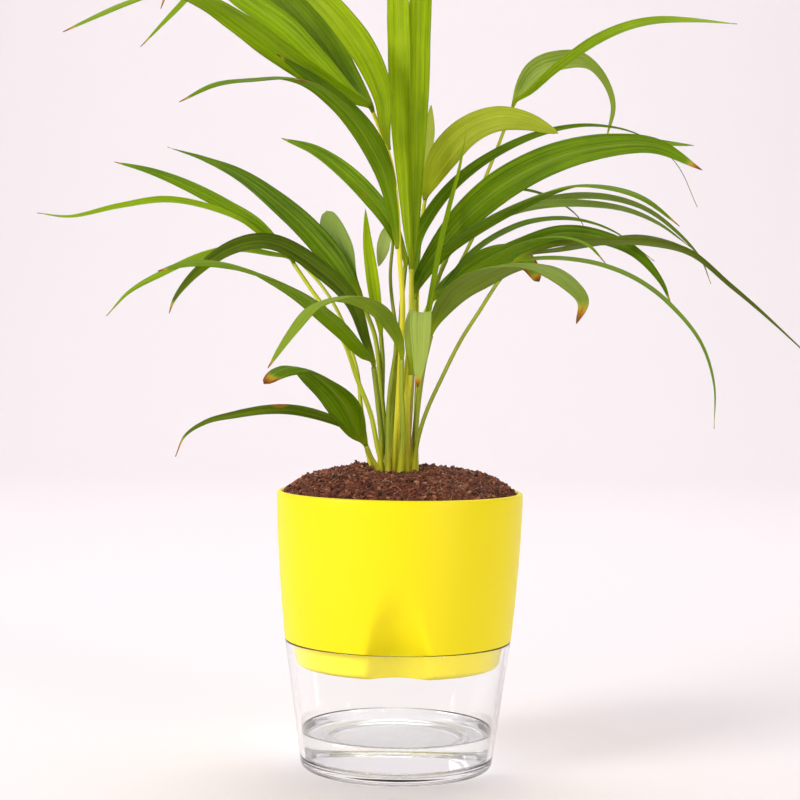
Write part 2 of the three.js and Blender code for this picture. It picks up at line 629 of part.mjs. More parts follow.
function leafGeometry(leaf) {
  const stem = stems[leaf.stem];
  const curve = stemCurve(stem);
  const end = curve.getPointAt(leaf.at);
  const along = curve.getTangentAt(leaf.at);
  const [low, high] = stem.radii;
  const stemRadius = (low + (high - low) * leaf.at) * plantScale;
  const stalk = Math.min(leafStalk, high) * plantScale;
  const start = end.clone();
  if (leaf.side) {
    const side = new THREE.Vector3(...leaf.side);
    side.addScaledVector(along, -side.dot(along)).normalize();
    start.addScaledVector(side, stemRadius + stalk * leafBaseSwell + clearance);
  } else {
    start.addScaledVector(along, clearance);
  }
  const inside = start.clone().addScaledVector(along, leafBaseInset * plantScale);
  const lead = start.clone().addScaledVector(along, leafLead * plantScale);
  const baseEnd = start.clone().addScaledVector(along, leafBaseLength * plantScale);
  const baseSection = (t) => roundSection(stalk * leafBaseSwell * (1 + (leafBaseTaper - 1) * t));
  const base = lofted(ringsAlong(new THREE.LineCurve3(start, baseEnd), 1, baseSection));
  const solids = leaf.lobes.map((blade) => {
    const points = [inside, lead, ...blade.path.map((p) => palmPoint(p))];
    const spine = new THREE.CatmullRomCurve3(points);
    const steps = Math.ceil(spine.getLength() / plantScale / leafStep);
    const thick = (leafThickness / 2) * plantScale;
    const section = (t) => {
      const half = bladeHalfWidth(t, blade, stalk / plantScale) * plantScale;
      const lift = half * leafCupping * Math.sin(Math.PI * t);
      return [[-half, lift], [0, thick], [half, lift], [0, -thick]];
    };
    return solidOf(lofted(ringsAlong(spine, steps, section, blade.nearTurn, blade.tipTurn)));
  });
  return geometryOf(wasm.Manifold.union([solidOf(base), ...solids]));
}

// ---------------------------------------------------------------- soil

// A rounded rise, or a hollow where its height is negative.
function bump(at, x, y) {
  return at.height * Math.exp(-((x - at.x) ** 2 + (y - at.y) ** 2) / at.spread ** 2);
}

// Height of the soil's surface above its edge: steep at the wall, and domed in the middle.
function soilHeight(x, y, reach) {
  const out = Math.hypot(x, y) / reach;
  const mound = soilShoulder * (1 - out ** 8) + soilDome * (1 - out ** 2);
  return mound + (bump(soilDip, x, y) + bump(soilClod, x, y)) * (1 - out ** 2);
}

function makeSoil() {
  const edgeZ = rimZ - soilEdgeDrop;
  const reach = potRadius(1 - soilEdgeDrop / potHeight) - potWall - clearance;
  const shares = [1, 0.96, 0.86, 0.74, 0.62, 0.5, 0.38, 0.26, 0.14, 0]; // rings, of the reach
  const outline = cavityOutline(clearance).slice(0, -1);
  const mass = turned([...outline, ...shares.map((share) => [share * reach, edgeZ])]);
  const position = mass.attributes.position;
  for (let i = 0; i < position.count; i++) {
    const x = position.getX(i);
    const y = position.getY(i);
    if (position.getZ(i) > edgeZ - clearance) {
      position.setZ(i, edgeZ + soilHeight(x, y, reach));
    }
  }
  let soil = solidOf(mass).subtract(scoopSolid(potWall + clearance));
  for (const stem of Object.values(stems)) {
    soil = soil.subtract(solidOf(stemGeometry(stem, clearance)));
  }
  return geometryOf(soil);
}

// ---------------------------------------------------------------- assembly

const colours = {
  clear: 0xe8ecee,
  water: 0xd7e6ea,
  yellow: 0xf3e01c,
  soil: 0x5a3327,
  stem: 0x9fb23a,
  deep: 0x4f7d12,
  mid: 0x6f9c24,
  light: 0x9dbf4c,
  lime: 0xc3d63a,
};

function piece(name, geometry, colour, roughness) {
  const material = new THREE.MeshStandardMaterial({ color: colour, roughness, metalness: 0 });
  const mesh = new THREE.Mesh(geometry, material);
  mesh.name = name;
  return mesh;
}

const group = new THREE.Group();
group.add(piece("reservoir_cup", makeCup(), colours.clear, 0.08));
group.add(piece("water", makeWater(), colours.water, 0.02));
group.add(piece("inner_pot", makePot(), colours.yellow, 0.35));
group.add(piece("soil", makeSoil(), colours.soil, 0.95));
for (const [name, stem] of Object.entries(stems)) {
  group.add(piece(name, stemGeometry(stem), colours.stem, 0.5));
}
for (const [name, leaf] of Object.entries(leaves)) {
  group.add(piece(name, leafGeometry(leaf), colours[leaf.tone], 0.45));
}

export default group;
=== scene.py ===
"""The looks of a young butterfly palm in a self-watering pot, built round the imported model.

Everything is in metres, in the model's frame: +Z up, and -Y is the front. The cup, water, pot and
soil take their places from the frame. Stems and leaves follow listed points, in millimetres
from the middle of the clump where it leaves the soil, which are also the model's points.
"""
import math
import random
import bmesh
import bpy
from mathutils import Matrix, Vector, noise


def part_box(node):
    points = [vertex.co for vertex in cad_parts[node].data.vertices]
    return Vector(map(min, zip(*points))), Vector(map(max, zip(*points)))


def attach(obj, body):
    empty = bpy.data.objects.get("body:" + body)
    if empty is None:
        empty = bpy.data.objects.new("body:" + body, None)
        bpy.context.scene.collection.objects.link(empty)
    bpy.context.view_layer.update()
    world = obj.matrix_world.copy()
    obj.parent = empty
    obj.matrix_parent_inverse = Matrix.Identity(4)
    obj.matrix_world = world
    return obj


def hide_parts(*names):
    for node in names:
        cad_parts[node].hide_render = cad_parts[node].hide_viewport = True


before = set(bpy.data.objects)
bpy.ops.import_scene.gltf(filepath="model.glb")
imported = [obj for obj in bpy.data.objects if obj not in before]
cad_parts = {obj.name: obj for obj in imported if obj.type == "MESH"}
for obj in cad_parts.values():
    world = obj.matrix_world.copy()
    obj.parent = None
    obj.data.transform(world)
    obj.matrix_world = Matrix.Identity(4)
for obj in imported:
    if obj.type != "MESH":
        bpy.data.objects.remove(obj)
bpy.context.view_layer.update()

MM = 0.001
UP = Vector((0, 0, 1))

# ---------------------------------------------------------------- places taken from the frame

cup_low, cup_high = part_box("reservoir_cup")
water_low, water_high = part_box("water")
pot_low, pot_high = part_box("inner_pot")

CUP_HEIGHT = cup_high.z
CUP_RIM = cup_high.x
POT_FLOOR = pot_low.z
RIM = pot_high.z
POT_RIM = pot_high.x
WATER_LEVEL = water_high.z
WATER_FLOOR = water_low.z
PALM_Z = RIM + 6.7 * MM  # where the stems leave the soil

# ---------------------------------------------------------------- shapes, in millimetres

CUP = {"foot": 44.6, "wall": 2.4, "base": 3.6, "fillet": 3.0, "ring": 33.0, "lip": 0.45}
POT = {"wall": 2.6, "bulge": 1.6, "shoulder": 60.3, "shoulder_radius": 53.0, "nest_radius": 49.6,
       "nest_fillet": 3.5, "nest_gap": 1.0, "drain_circle": 22.0, "drain_radius": 2.5, "drains": 6}
SCOOP = {"radius": 16.0, "top": 27.0, "slope": 0.467, "softness": 2.6}
SOIL = {"edge_drop": 1.8, "shoulder": 6.0, "dome": 7.0, "gap": 0.3}
SOIL_BUMPS = [  # x, y, height, spread
    (0, -8, -3.2, 16),
    (-20, 2, 3.0, 5),
]
STEM_ROOT = 22  # how far a stem goes down into the soil
LEAF_LEAD = 3  # how far a lobe keeps to the stem's direction
BLADE = {"cupping": 0.2, "thickness": 0.3, "stalk": 0.9}

STEP = 1.6  # length of one division along a stem or a leaf
STEM_SIDES = 16
STEM_VEINS = 8
FRESH = 2.0  # the age number of a point far from any dry tip
STEM_SAMPLES = 400  # divisions of a stem in which a leaf's start is looked up
BLADE_COLUMNS = 20
ROUND_SIDES = 192  # divisions round the cup and the water
SOIL_SIDES = 288
SOIL_ROWS = 72  # rings across the soil's surface
POT_ROWS = 44  # rings up each side of the pot's wall
SOIL_BITS = {"chip": 2200, "crumb": 5200, "fibre": 2600}
# How high a flat bit may lie, its least and greatest size, its tint and how much that varies.
FLAT_BITS = {"chip": (0.7, 0.5, 1.5, 0.38, 0.2), "crumb": (0.5, 0.2, 0.6, 0.42, 0.22)}
SOIL_SEED, PALM_SEED = 11, 5
CAMERA = {"place": (-0.00056, -0.855, 0.197), "lens": 82.3, "down": 1.69, "roll": 0.8}

# ---------------------------------------------------------------- the palm's listed points

STEM_DEFAULTS = {"tone": 0.0, "yellow": 0.0, "edge": 0.0}
LOBE_DEFAULTS = {"widest": 0.42, "fullness": 0.75, "brown": 4, "tone": 0.0, "faded": 0.0,
                 "olive": 0.0}


def stem(foot, radii, path, **particulars):
    """A stem: where it leaves the soil, its radii at the foot and the end, and the points that it
    passes. Tone is how light it is, yellow how yellow it is all along, and edge how brown one of
    its edges is."""
    return STEM_DEFAULTS | {"foot": foot, "radii": radii, "path": path} | particulars


def lobe(width, near, tip, path, **particulars):
    """One lobe of a leaf: its greatest width, how its upper face is turned near the stem and at the
    tip, and the points that it passes. Widest is where along it it is widest, fullness how quickly
    its outer half narrows, brown how far it is dry from the tip, tone how light it is, faded and
    sheen how far it turns a pale grey-green, partly from fading and partly as painted sheen and
    glare, and olive how far its green has turned olive."""
    return LOBE_DEFAULTS | {"width": width, "near": near, "tip": tip, "path": path} | particulars


def leaf(slot, lobes, stem=None, at=1, side=None):
    """A leaf: its slot and lobes, the stem that it grows from if that has another name, the share of
    the stem's length at which it starts, and the side of the stem that it springs from."""
    return {"slot": slot, "lobes": lobes, "stem": stem, "at": at, "side": side}


STEMS = {
    "low_left": stem((-9.5, -6), (1.4, 1.1), [(-13, -9, 8), (-16, -13, 15)], tone=-0.1),
    "thin_left": stem((-13.5, 3), (1.1, 0.7), [(-16, 6, 13), (-19, 12, 32), (-21, 17, 48),
        (-25, 22, 61), (-29, 26, 73), (-38, 32, 88), (-50, 36, 101), (-59, 38, 109)], tone=0.1),
    "outer_left": stem((-8.2, -1.5), (1.2, 0.9), [(-11, -5, 15), (-14, -8, 29), (-21, -12, 47),
        (-26, -14, 61), (-35, -16, 77), (-41, -17, 85), (-50, -18, 98)], tone=0.2),
    "dark_left": stem((-9.5, 3), (1.4, 1.2), [(-9, 2, 17), (-11, 0, 36), (-13, -3, 51)], tone=-0.5),
    "spear": stem((-6, 5.5), (1.3, 1), [(-8, 8, 17), (-9, 9, 35), (-9, 10, 54),
        (-10, 10, 66)], tone=-0.4),
    "mid_left": stem((-6, 1.8), (1.2, 1), [(-7.5, 5.5, 21), (-10, 7, 45), (-13, 12, 66),
        (-19, 14, 81)], tone=-0.1),
    "grey": stem((-5.8, -5), (1.3, 0.7), [(-6, -5, 27), (-5, -4, 43), (-3, 0, 58), (-3, 6, 69),
        (-5, 14, 83), (-6, 18, 95), (-5, 20, 110)], tone=-0.3),
    "inner_left": stem((-3.5, 1.5), (1.3, 1), [(-4, 3, 22), (-3, 5, 45), (-1, 7, 69), (0, 10, 87),
        (1, 12, 98)], tone=-0.5),
    "frond": stem((-3, -3), (1.5, 0.9), [(-2, -4, 22), (-1, -4, 45), (0, -4, 68), (0, -4, 82),
        (-2, -3, 106), (-3, -2, 124), (-6, 0, 145), (-10, 2, 158),
        (-15, 4, 170)], tone=0.5, yellow=0.95),
    "upright": stem((-0.5, 4.5), (1.5, 1.1), [(1, 2, 22), (2, 0, 45), (4, 1, 69), (4, 2, 83),
        (4, 3, 97)], tone=0.2, yellow=0.4),
    "front": stem((0, -6.5), (1.4, 1.1), [(1, -9, 22), (0, -12, 41), (0, -15, 55)], tone=-0.1),
    "sheath": stem((3.2, -2.6), (2.2, 1.6), [(3, -5, 22), (3, -7, 36),
        (4, -10, 48)], tone=0.5, yellow=0.5, edge=0.7),
    "right": stem((2.6, 2.6), (1.4, 1.2), [(4, 4, 26), (5, 6, 50), (6, 8, 73), (6, 9, 83)], tone=-0.4),
    "lime": stem((6.2, 2), (1.2, 0.9), [(7, 8.5, 26), (7.5, 15, 50), (7, 19, 74), (7, 22, 95),
        (8, 24, 114), (10, 26, 131)], tone=0.3, yellow=0.5),
    "broad_right": stem((7.3, -1.6), (1.3, 1.2), [(7, -4, 22), (8, -8, 36), (10, -13, 52),
        (13, -18, 66)], tone=-0.3, edge=0.3),
    "long_right": stem((6.5, -5.5), (1, 0.8), [(8, -11, 18), (12, -16, 32), (18, -22, 46),
        (26, -29, 63), (35, -35, 78), (43, -40, 91), (48, -42, 97)], tone=-0.4),
    "back_right": stem((5.5, 6), (1.1, 0.9), [(7, 14, 26), (9, 20, 50), (12, 25, 71), (15, 30, 88),
        (21, 36, 103)], tone=-0.5),
    "inner_right": stem((2.2, 6.8), (1.2, 1), [(3.5, 9, 26), (5, 10.5, 50), (9.5, 8, 66),
        (13, 3, 80)], tone=-0.3),
    "outer_right": stem((5, 9.5), (1.1, 0.8), [(7, 20, 26), (9, 30, 50), (13, 38, 69), (18, 46, 85),
        (26, 52, 98), (32, 56, 110), (38, 60, 123), (43, 62, 136)], tone=-0.3),
    "top_right": stem((-2.5, 8), (1.2, 0.8), [(0, 22, 26), (3, 34, 49), (9, 46, 71), (17, 56, 92),
        (24, 66, 114), (36, 74, 135), (44, 80, 154), (50, 84, 170), (55, 86, 184)], tone=0.1),
}

LEAVES = {
    "low_left": leaf("leaf_deep", [
        lobe(17, (0, 10), (0, 45), [(-20, -20, 22), (-26, -32, 35), (-36, -45, 46), (-45, -57, 51),
            (-53, -66, 49), (-59, -72, 44)], fullness=0.5, brown=6, tone=0.1),
        lobe(5, (0, 40), (0, 75), [(-25, -22, 24), (-36, -34, 29), (-49, -46, 32), (-60, -56, 32),
            (-72, -62, 30), (-84, -66, 27), (-93, -68, 21),
            (-97, -68, 12)], brown=9, tone=0.1, olive=0.3)]),
    "outer_left": leaf("leaf_mid", [
        lobe(5, (0, 60), (0, 50), [(-61, -18, 102), (-76, -18, 104), (-91, -16, 101), (-110, -12, 93),
            (-127, -6, 84), (-138, -2, 73)], brown=5, tone=0.2)]),
    "thin_left": leaf("leaf_mid", [
        lobe(7, (0, 20), (0, 30), [(-71, 40, 119), (-85, 44, 127), (-106, 50, 138), (-126, 56, 146),
            (-145, 62, 151)], widest=0.3),
        lobe(4, (0, 50), (0, 40), [(-69, 36, 114), (-79, 32, 121), (-96, 26, 127), (-114, 18, 129),
            (-134, 8, 125), (-155, -4, 119), (-169, -10, 120)], tone=0.7)]),
    "dark_left": leaf("leaf_deep", [
        lobe(9, (0, 30), (0, 70), [(-17, -6, 64), (-24, -10, 82), (-39, -14, 96), (-56, -22, 106),
            (-67, -28, 107), (-80, -36, 102), (-93, -42, 91), (-101, -46, 80),
            (-103, -47, 74)], brown=5, tone=-0.1, olive=0.3),
        lobe(13, (0, 40), (0, 40), [(-17, -12, 57), (-27, -23, 68), (-43, -40, 82), (-58, -52, 90),
            (-75, -66, 95), (-90, -78, 95), (-103, -86, 91)], brown=4, tone=0.6)]),
    "mid_left": leaf("leaf_deep", [
        lobe(12, (0, 20), (0, 40), [(-25, 14, 91), (-35, 20, 104), (-47, 28, 117), (-63, 38, 131),
            (-81, 50, 144), (-100, 62, 153), (-120, 74, 160)], widest=0.25, fullness=1.2),
        lobe(13, (0, 0), (0, 0), [(-25, 16, 92), (-29, 24, 104), (-34, 36, 115),
            (-38, 48, 127)], widest=0.6, fullness=0.4, brown=0.4, tone=1.0, faded=0.5)]),
    "spear": leaf("leaf_light", [
        lobe(6, (0, 0), (0, 0), [(-12, 10, 78), (-15, 9, 97), (-17, 7, 111),
            (-18, 4, 125)], brown=0.4, tone=0.3)]),
    "grey": leaf("leaf_light", [
        lobe(8, (0, 90), (0, 10), [(-4, 26, 116), (-6, 34, 116), (-9, 42, 111),
            (-12, 46, 100)], widest=0.6, brown=0.4, tone=0.2, faded=0.9)]),
    "inner_left": leaf("leaf_mid", [
        lobe(9, (0, 15), (0, 25), [(-1, 14, 107), (-7, 18, 120), (-16, 24, 132), (-29, 32, 145),
            (-44, 42, 156), (-61, 54, 163)])]),
    "front_arch": leaf("leaf_mid", [
        lobe(11, (0, 20), (-30, 25), [(-2, -20, 65), (-8, -30, 75), (-17, -42, 81), (-28, -58, 82),
            (-39, -72, 77), (-47, -82, 66),
            (-56, -90, 51)], tone=0.5, faded=0.15, olive=0.2)], stem="front"),
    "front_droop": leaf("leaf_light", [
        lobe(9.5, (0, 170), (0, 10), [(4, -18, 59), (5, -28, 70), (8, -42, 76), (8, -52, 70),
            (8, -58, 59), (7, -60, 43)], widest=0.62, brown=5, tone=0.4, faded=0.6)], stem="sheath"),
    "frond": leaf("leaf_mid", [
        lobe(14, (0, 10), (0, 60), [(-22, -2, 175), (-36, -12, 181), (-52, -24, 190), (-69, -38, 201),
            (-86, -54, 210), (-101, -70, 212), (-116, -84, 204), (-141, -100, 188)], brown=6, tone=0.3),
        lobe(13, (0, 10), (0, 60), [(-25, 10, 179), (-41, 16, 195), (-58, 24, 212), (-76, 34, 226),
            (-92, 46, 238), (-102, 54, 237), (-113, 60, 228), (-123, 64, 219),
            (-133, 66, 209)], brown=6, tone=0.3),
        lobe(16, (0, 10), (0, 60), [(-29, 22, 191), (-44, 40, 214), (-62, 60, 235), (-82, 80, 253),
            (-103, 96, 261), (-120, 106, 256),
            (-129, 110, 236)], widest=0.3, brown=7, tone=-0.1, olive=0.2)]),
    "frond_upper": leaf("leaf_light", [
        lobe(14, (0, 10), (0, 50), [(-9.5, 0, 164), (-10.5, 1, 176), (-17, 4, 193), (-31, 14, 214),
            (-45, 24, 229), (-61, 34, 242), (-79, 46, 251),
            (-103, 58, 253)], widest=0.36, tone=0.2)], stem="frond", at=0.9, side=(1, 0, 0.3)),
    "frond_side": leaf("leaf_deep", [
        lobe(9, (0, 10), (0, 20), [(-12, -5, 150), (-19, -9, 161), (-29, -15, 171), (-42, -22, 181),
            (-58, -31, 191)], widest=0.3)], stem="frond", at=0.8, side=(-1, -0.6, 0)),
    "frond_low": leaf("leaf_deep", [
        lobe(10, (0, 20), (0, 45), [(-5.5, -9, 126), (-9, -14, 139), (-15, -21, 151), (-22, -28, 161),
            (-30, -35, 169), (-39, -44, 175), (-51, -56, 177), (-67, -70, 174), (-80, -82, 170),
            (-94, -92, 161)], widest=0.4, brown=5, tone=0.4)], stem="frond", at=0.66, side=(-1, -0.6, 0)),
    "upright": leaf("leaf_light", [
        lobe(11, (-8, 0), (-8, 0), [(2.6, 5, 110), (0.2, 8, 137), (-1.6, 11, 160), (-2.6, 15, 186),
            (-3.4, 19, 210), (-5, 25, 234), (-13, 34, 258), (-25, 46, 279)], widest=0.6, tone=0.15),
        lobe(11, (8, 0), (8, 0), [(5, 5, 110), (5.4, 8, 137), (5.6, 11, 160), (6, 15, 186),
            (6, 19, 210), (7, 25, 234), (12, 35, 260), (21, 49, 287)], widest=0.6, tone=0.05)]),
    "lime": leaf("leaf_lime", [
        lobe(15, (0, 0), (0, 15), [(13, 25, 141), (19, 24, 152), (29, 22, 163), (43, 18, 169),
            (57, 14, 168), (72, 8, 162)], widest=0.34, fullness=0.6, brown=0.4, tone=-0.1, faded=0.2),
        lobe(8, (0, 0), (0, 20), [(9, 32, 144), (10, 44, 157), (12, 56, 169),
            (13, 66, 182)], brown=0.4, tone=0.2, faded=0.5)]),
    "folded": leaf("leaf_light", [
        lobe(2.6, (0, 0), (0, 0), [(14, -6, 90), (17, -9, 108), (21, -11, 126), (25, -13, 142),
            (28, -15, 159)], brown=0.4, tone=-0.1)], stem="inner_right", at=0.82, side=(0.4, -1, 0)),
    "top_right": leaf("leaf_light", [
        lobe(7, (0, 30), (0, 60), [(64, 86, 192), (76, 84, 203), (91, 80, 214), (105, 74, 221),
            (122, 66, 225), (143, 56, 224), (162, 46, 221)], widest=0.5),
        lobe(13, (0, 20), (60, 20), [(60, 96, 195), (68, 108, 206), (81, 122, 213), (96, 134, 215),
            (107, 142, 207), (113, 146, 194), (110, 144, 176)], brown=1, faded=0.3)]),
    "right_fan": leaf("leaf_deep", [
        lobe(6, (0, 10), (0, 60), [(5, 12, 96), (6, 16, 111), (13, 20, 125), (24, 26, 139),
            (41, 34, 153), (66, 46, 166), (92, 58, 172), (118, 70, 169), (138, 78, 156),
            (150, 82, 134)], widest=0.14, fullness=2.2, brown=1, tone=0.1),
        lobe(15, (0, 10), (0, 15), [(8, 5, 94), (17, 2, 108), (30, -6, 123), (48, -18, 137),
            (70, -30, 147), (91, -40, 151), (110, -50, 150), (129, -60, 139)], brown=7, tone=0.2),
        lobe(9, (0, 25), (0, 50), [(8, 2, 91), (18, -3, 104), (36, -20, 117), (56, -38, 127),
            (74, -56, 132), (90, -68, 130), (102, -76, 125), (116, -84, 113)], brown=5, tone=0.3),
        lobe(6, (0, 30), (0, 40), [(8, 16, 97), (18, 24, 114), (37, 34, 132), (62, 46, 147),
            (92, 58, 160), (118, 68, 165),
            (147, 78, 165)], widest=0.8, brown=0.4, tone=0.7)], stem="right"),
    "back_right": leaf("leaf_mid", [
        lobe(4, (0, 40), (0, 60), [(32, 40, 116), (52, 46, 127), (75, 54, 135), (98, 62, 137),
            (119, 70, 133), (135, 76, 124), (152, 82, 108),
            (158, 84, 95)], tone=-0.3, faded=0.2, olive=0.3),
        lobe(4.5, (0, 40), (0, 60), [(32, 30, 115), (49, 24, 125), (67, 16, 129), (85, 8, 129),
            (103, 0, 126), (118, -8, 119), (132, -14, 108)], tone=-0.3, faded=0.2, olive=0.3)]),
    "inner_right": leaf("leaf_deep", [
        lobe(4, (0, 50), (0, 60), [(21, 10, 91), (32, 20, 105), (47, 32, 116), (64, 44, 123),
            (85, 56, 125), (106, 68, 120), (128, 78, 106)]),
        lobe(8, (0, 30), (0, 50), [(21, -2, 88), (36, -8, 99), (53, -15, 107), (71, -20, 113),
            (88, -32, 111), (103, -40, 104), (114, -46, 91), (118, -50, 81)]),
        lobe(6, (0, 40), (0, 60), [(21, -8, 88), (37, -20, 99), (54, -36, 108), (69, -50, 110),
            (80, -60, 106), (87, -66, 98)], tone=0.9),
        lobe(12, (0, 40), (0, 10), [(23, 20, 91), (40, 34, 103), (53, 46, 106), (62, 54, 103),
            (68, 58, 94)], widest=0.6, fullness=0.4, brown=5, tone=0.4)]),
    "long_right": leaf("leaf_mid", [
        lobe(5.5, (0, 50), (0, 60), [(56, -44, 103), (69, -46, 107), (87, -46, 108), (109, -44, 108),
            (127, -40, 104), (147, -32, 90), (167, -24, 75),
            (189, -16, 57)], brown=3, tone=-0.3, olive=0.6),
        lobe(6, (0, 50), (0, 60), [(54, -37, 102), (71, -30, 105), (90, -17, 109), (113, 0, 113),
            (131, 10, 110), (144, 18, 104)], brown=3, tone=-0.3, olive=0.6),
        lobe(2, (0, 50), (0, 60), [(56, -52, 100), (68, -62, 100), (84, -74, 97), (99, -86, 90),
            (111, -94, 80), (123, -102, 64), (128, -106, 47), (128, -108, 29)], tone=-0.2, faded=0.2)]),
    "outer_right": leaf("leaf_deep", [
        lobe(2.4, (0, 50), (0, 60), [(59, 74, 141), (75, 84, 138), (90, 92, 129), (95, 96, 121)]),
        lobe(2.4, (0, 20), (0, 20), [(45, 60, 140), (50, 58, 150)])]),
    "broad_right": leaf("leaf_mid", [
        lobe(16, (0, 15), (0, 35), [(16, -24, 75), (23, -34, 85), (35, -50, 93), (48, -68, 97),
            (60, -84, 95), (69, -96, 88), (74, -104, 80),
            (71, -107, 71)], brown=9, tone=0.1, faded=0.2, olive=0.35)]),
}

# Scars on blades: leaf, lobe, share of its length, place across it from -1 to 1, length, strength.
SCARS = [
    ("frond_low", 0, 0.62, 0.9, 4, 0.9),
    ("inner_left", 0, 0.42, -0.35, 2, 0.6),
    ("low_left", 1, 0.5, 0.9, 5, 0.6),
    ("low_left", 0, 0.97, 0.8, 5, 1.0),
    ("low_left", 0, 0.97, -0.8, 5, 1.0),
    ("inner_right", 3, 0.9, 0.9, 6, 0.9),
    ("inner_right", 3, 0.9, -0.9, 6, 0.9),
    ("broad_right", 0, 0.97, 0.0, 5, 0.8),
]


# ---------------------------------------------------------------- meshes


def make_piece(name, points, faces, material, node, attributes=None):
    """A new object of the part, in place of one of the model's nodes. Attributes are lists with one
    number for each point."""
    mesh = bpy.data.meshes.new(name)
    mesh.from_pydata(points, [], faces)
    for label, values in (attributes or {}).items():
        layer = mesh.attributes.new(label, "FLOAT", "POINT")
        layer.data.foreach_set("value", values)
    mesh.materials.append(material)
    mesh.shade_smooth()
    piece = bpy.data.objects.new(name, mesh)
    bpy.context.scene.collection.objects.link(piece)
    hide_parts(node)
    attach(piece, "root")
    return piece


def flat_list(rings):
    return [point for ring in rings for point in ring]


def weld(piece, distance=0.002 * MM):
    """Joins points that lie on each other, and turns all faces outward."""
    shape = bmesh.new()
    shape.from_mesh(piece.data)
    bmesh.ops.remove_doubles(shape, verts=shape.verts, dist=distance)
    bmesh.ops.recalc_face_normals(shape, faces=shape.faces)
    shape.to_mesh(piece.data)
    shape.free()


def sides(rings, first=0):
    """Faces between rings of equal point count."""
    count = len(rings[0])
    faces = []
    for ring in range(len(rings) - 1):
        for i in range(count):
            a = first + ring * count + i
            b = first + ring * count + (i + 1) % count
            faces.append((a, b, b + count, a + count))
    return faces


def skin(rings, first=0):
    """Faces over rings of equal point count, closed by a cap at each end."""
    count = len(rings[0])
    faces = sides(rings, first)
    last = first + (len(rings) - 1) * count
    faces.append(tuple(first + i for i in reversed(range(count))))
    faces.append(tuple(last + i for i in range(count)))
    return faces


def turned(name, profile, angles, material, node, reach=None):
    """A solid round Z from (radius, z) points in millimetres that start and end on the axis. Reach
    may pull a point in, from its angle, radius, z and index."""
    rings = []
    for index, (radius, z) in enumerate(profile):
        ring = []
        for angle in angles:
            r = reach(angle, radius, z, index) if reach else radius
            ring.append((r * math.sin(angle) * MM, -r * math.cos(angle) * MM, z * MM))
        rings.append(ring)
    piece = make_piece(name, flat_list(rings), sides(rings), material, node)
    weld(piece)
    return piece


def arc(centre_r, centre_z, radius, start, end, steps=8):
    """Points on a circle, from one angle to another in degrees."""
    points = []
    for i in range(steps + 1):
        angle = math.radians(start + (end - start) * i / steps)
        points.append((centre_r + radius * math.cos(angle), centre_z + radius * math.sin(angle)))
    return points


def line(start, end, steps):
    """Points from one (radius, z) to another, without the first."""
    return [(start[0] + (end[0] - start[0]) * i / steps, start[1] + (end[1] - start[1]) * i / steps)
            for i in range(1, steps + 1)]


def even_angles(count):
    return [2 * math.pi * i / count for i in range(count)]


def smooth_step(low, high, value):
    share = min(1, max(0, (value - low) / (high - low)))
    return share * share * (3 - 2 * share)


# ---------------------------------------------------------------- curves


def catmull_rom(points, per_segment=20):
    """Many points on the centripetal Catmull-Rom curve through some points."""
    ends = [2 * points[0] - points[1]] + points + [2 * points[-1] - points[-2]]
    dense = []
    for i in range(1, len(ends) - 2):
        p0, p1, p2, p3 = ends[i - 1:i + 3]
        d0, d1, d2 = [math.sqrt((b - a).length) for a, b in ((p0, p1), (p1, p2), (p2, p3))]
        m1 = ((p1 - p0) / d0 - (p2 - p0) / (d0 + d1) + (p2 - p1) / d1) * d1
        m2 = ((p2 - p1) / d1 - (p3 - p1) / (d1 + d2) + (p3 - p2) / d2) * d1
        for k in range(per_segment):
            t = k / per_segment
            dense.append(p1 + m1 * t + (3 * (p2 - p1) - 2 * m1 - m2) * t * t
                         + (2 * (p1 - p2) + m1 + m2) * t ** 3)
    dense.append(points[-1].copy())
    return dense


def along_curve(dense, count):
    """Points that divide a curve into equal lengths, with the direction at each."""
    lengths = [0]
    for a, b in zip(dense, dense[1:]):
        lengths.append(lengths[-1] + (b - a).length)
    points = []
    directions = []
    k = 0
    for i in range(count + 1):
        wanted = lengths[-1] * i / count
        while k < len(dense) - 2 and lengths[k + 1] < wanted:
            k += 1
        share = (wanted - lengths[k]) / (lengths[k + 1] - lengths[k])
        points.append(dense[k].lerp(dense[k + 1], min(1, share)))
    for i in range(count + 1):
        before = points[max(0, i - 1)]
        after = points[min(count, i + 1)]
        directions.append((after - before).normalized())
    return points, directions, lengths[-1]


def divided(dense):
    """Divides a curve into steps of about one STEP."""
    length = sum((b - a).length for a, b in zip(dense, dense[1:]))
    return along_curve(dense, math.ceil(length / STEP))


def facing(turn):
    """The direction that a blade's upper face is turned to, from (round, up) in degrees."""
    a, e = math.radians(turn[0]), math.radians(turn[1])
    return Vector((math.sin(a) * math.cos(e), -math.cos(a) * math.cos(e), math.sin(e)))


def across_of(along, turn):
    return along.cross(facing(turn)).normalized()


def carried_frames(directions, near, tip):
    """The direction across a blade at each point of its spine. It is carried along without
    twisting, apart from the turn that the tip asks for, which is spread evenly."""
    across = [across_of(directions[0], near)]
    for along in directions[1:]:
        moved = across[-1] - along * across[-1].dot(along)
        across.append(moved.normalized())
    end = directions[-1]
    goal = across_of(end, tip)
    twist = math.atan2(across[-1].cross(goal).dot(end), across[-1].dot(goal))
    twist -= math.pi * round(twist / math.pi)
    steps = len(directions) - 1
    turned_frames = []
    for i, along in enumerate(directions):
        turned_frames.append(Matrix.Rotation(twist * i / steps, 3, along) @ across[i])
    return turned_frames


def palm_point(point):
    """A point of the palm in the model's frame, in millimetres."""
    return Vector((point[0], point[1], PALM_Z / MM + point[2]))


# ---------------------------------------------------------------- materials


def rgb(red, green, blue):
    """A colour written as it looks on a screen, from 0 to 255."""
    linear = []
    for value in (red, green, blue):
        share = value / 255
        linear.append(share / 12.92 if share <= 0.04045 else ((share + 0.055) / 1.055) ** 2.4)
    return (*linear, 1)


